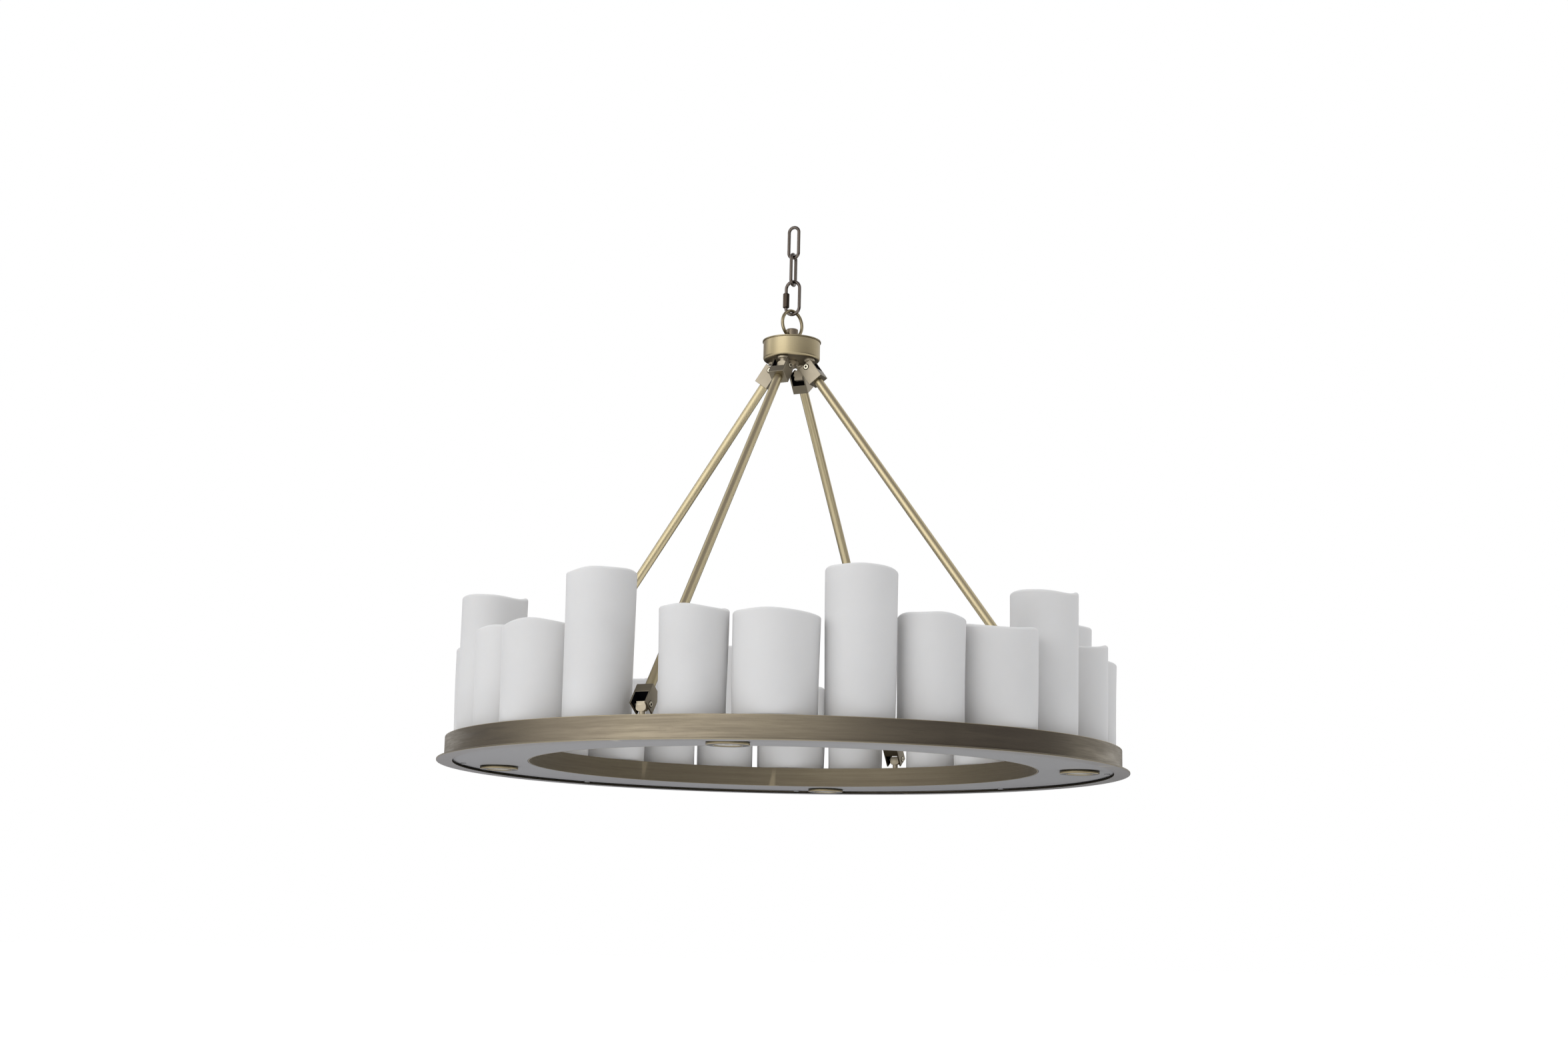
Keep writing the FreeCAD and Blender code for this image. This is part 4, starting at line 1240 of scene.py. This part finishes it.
# %% [markdown]
# ## Holders and lamps
#
# Inside each glass stand a white holder, whose flange clamps the glass, and a small capsule lamp.
# They only show from above. Both are turned once and copied to the places of the glasses.

# %% Holders and lamps
glass_places = [place_on_tray(node)[1] for node in sorted(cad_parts)
                if node.startswith("shade_")]
holder_r, holder_flange_r, nipple_r, rib_depth = 11 * MM, 15 * MM, 5 * MM, 0.7 * MM
holder_flange_top = glass_floor + 3 * MM
holder_top = holder_flange_top + 20 * MM
holder_low = -sheet - 6 * MM
ribs = []
for i in range(5):
    rib = holder_flange_top + (3 + 3 * i) * MM
    ribs += [(holder_r, rib), (holder_r - rib_depth, rib + 0.5 * MM),
             (holder_r - rib_depth, rib + 1.1 * MM), (holder_r, rib + 1.6 * MM)]
holder = turned_piece("holder_set", [
    (nipple_r, holder_low), (nipple_r, glass_floor), (holder_flange_r, glass_floor),
    (holder_flange_r, holder_flange_top), (holder_r, holder_flange_top)]
    + ribs + [(holder_r, holder_top)], steps=32)
soften(holder, 0.25 * MM)
set_out(holder, glass_places)
fit(holder, white_ceramic, "chandelier", "lamp_holders")

lamp_r, lamp_body, lamp_tip = 8 * MM, 32 * MM, 6 * MM
capsule = [(lamp_r * math.cos(angle), holder_top + lamp_body + lamp_tip * math.sin(angle))
           for angle in (TURN / 4 * i / 7 for i in range(7))]
bulb = turned_piece("lamp_set", [
    (lamp_r * 0.8, holder_top), (lamp_r * 0.8, holder_top + 3 * MM),
    (lamp_r, holder_top + 5 * MM)] + capsule, steps=32)
soften(bulb, 0.2 * MM)
set_out(bulb, glass_places)
fit(bulb, lamp_glass, "chandelier", "lamps")

# %% [markdown]
# ## Nodes that keep their shape
#
# Nuts, posts, the light modules and the terminal block are hidden inside or simple, so the working
# node stays and only gets its finish.

# %% Finishes on working nodes
kept = {
    "knuckle_nuts": zinc_steel, "holder_nuts": zinc_steel, "panel_posts": zinc_steel,
    "panel_screws": grey_screw, "light_modules": module_metal, "terminal_block": terminal_plastic,
}
for node, material in kept.items():
    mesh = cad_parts[node].data
    mesh.materials.clear()
    mesh.materials.append(material)
print("Finishes set on", ", ".join(kept))
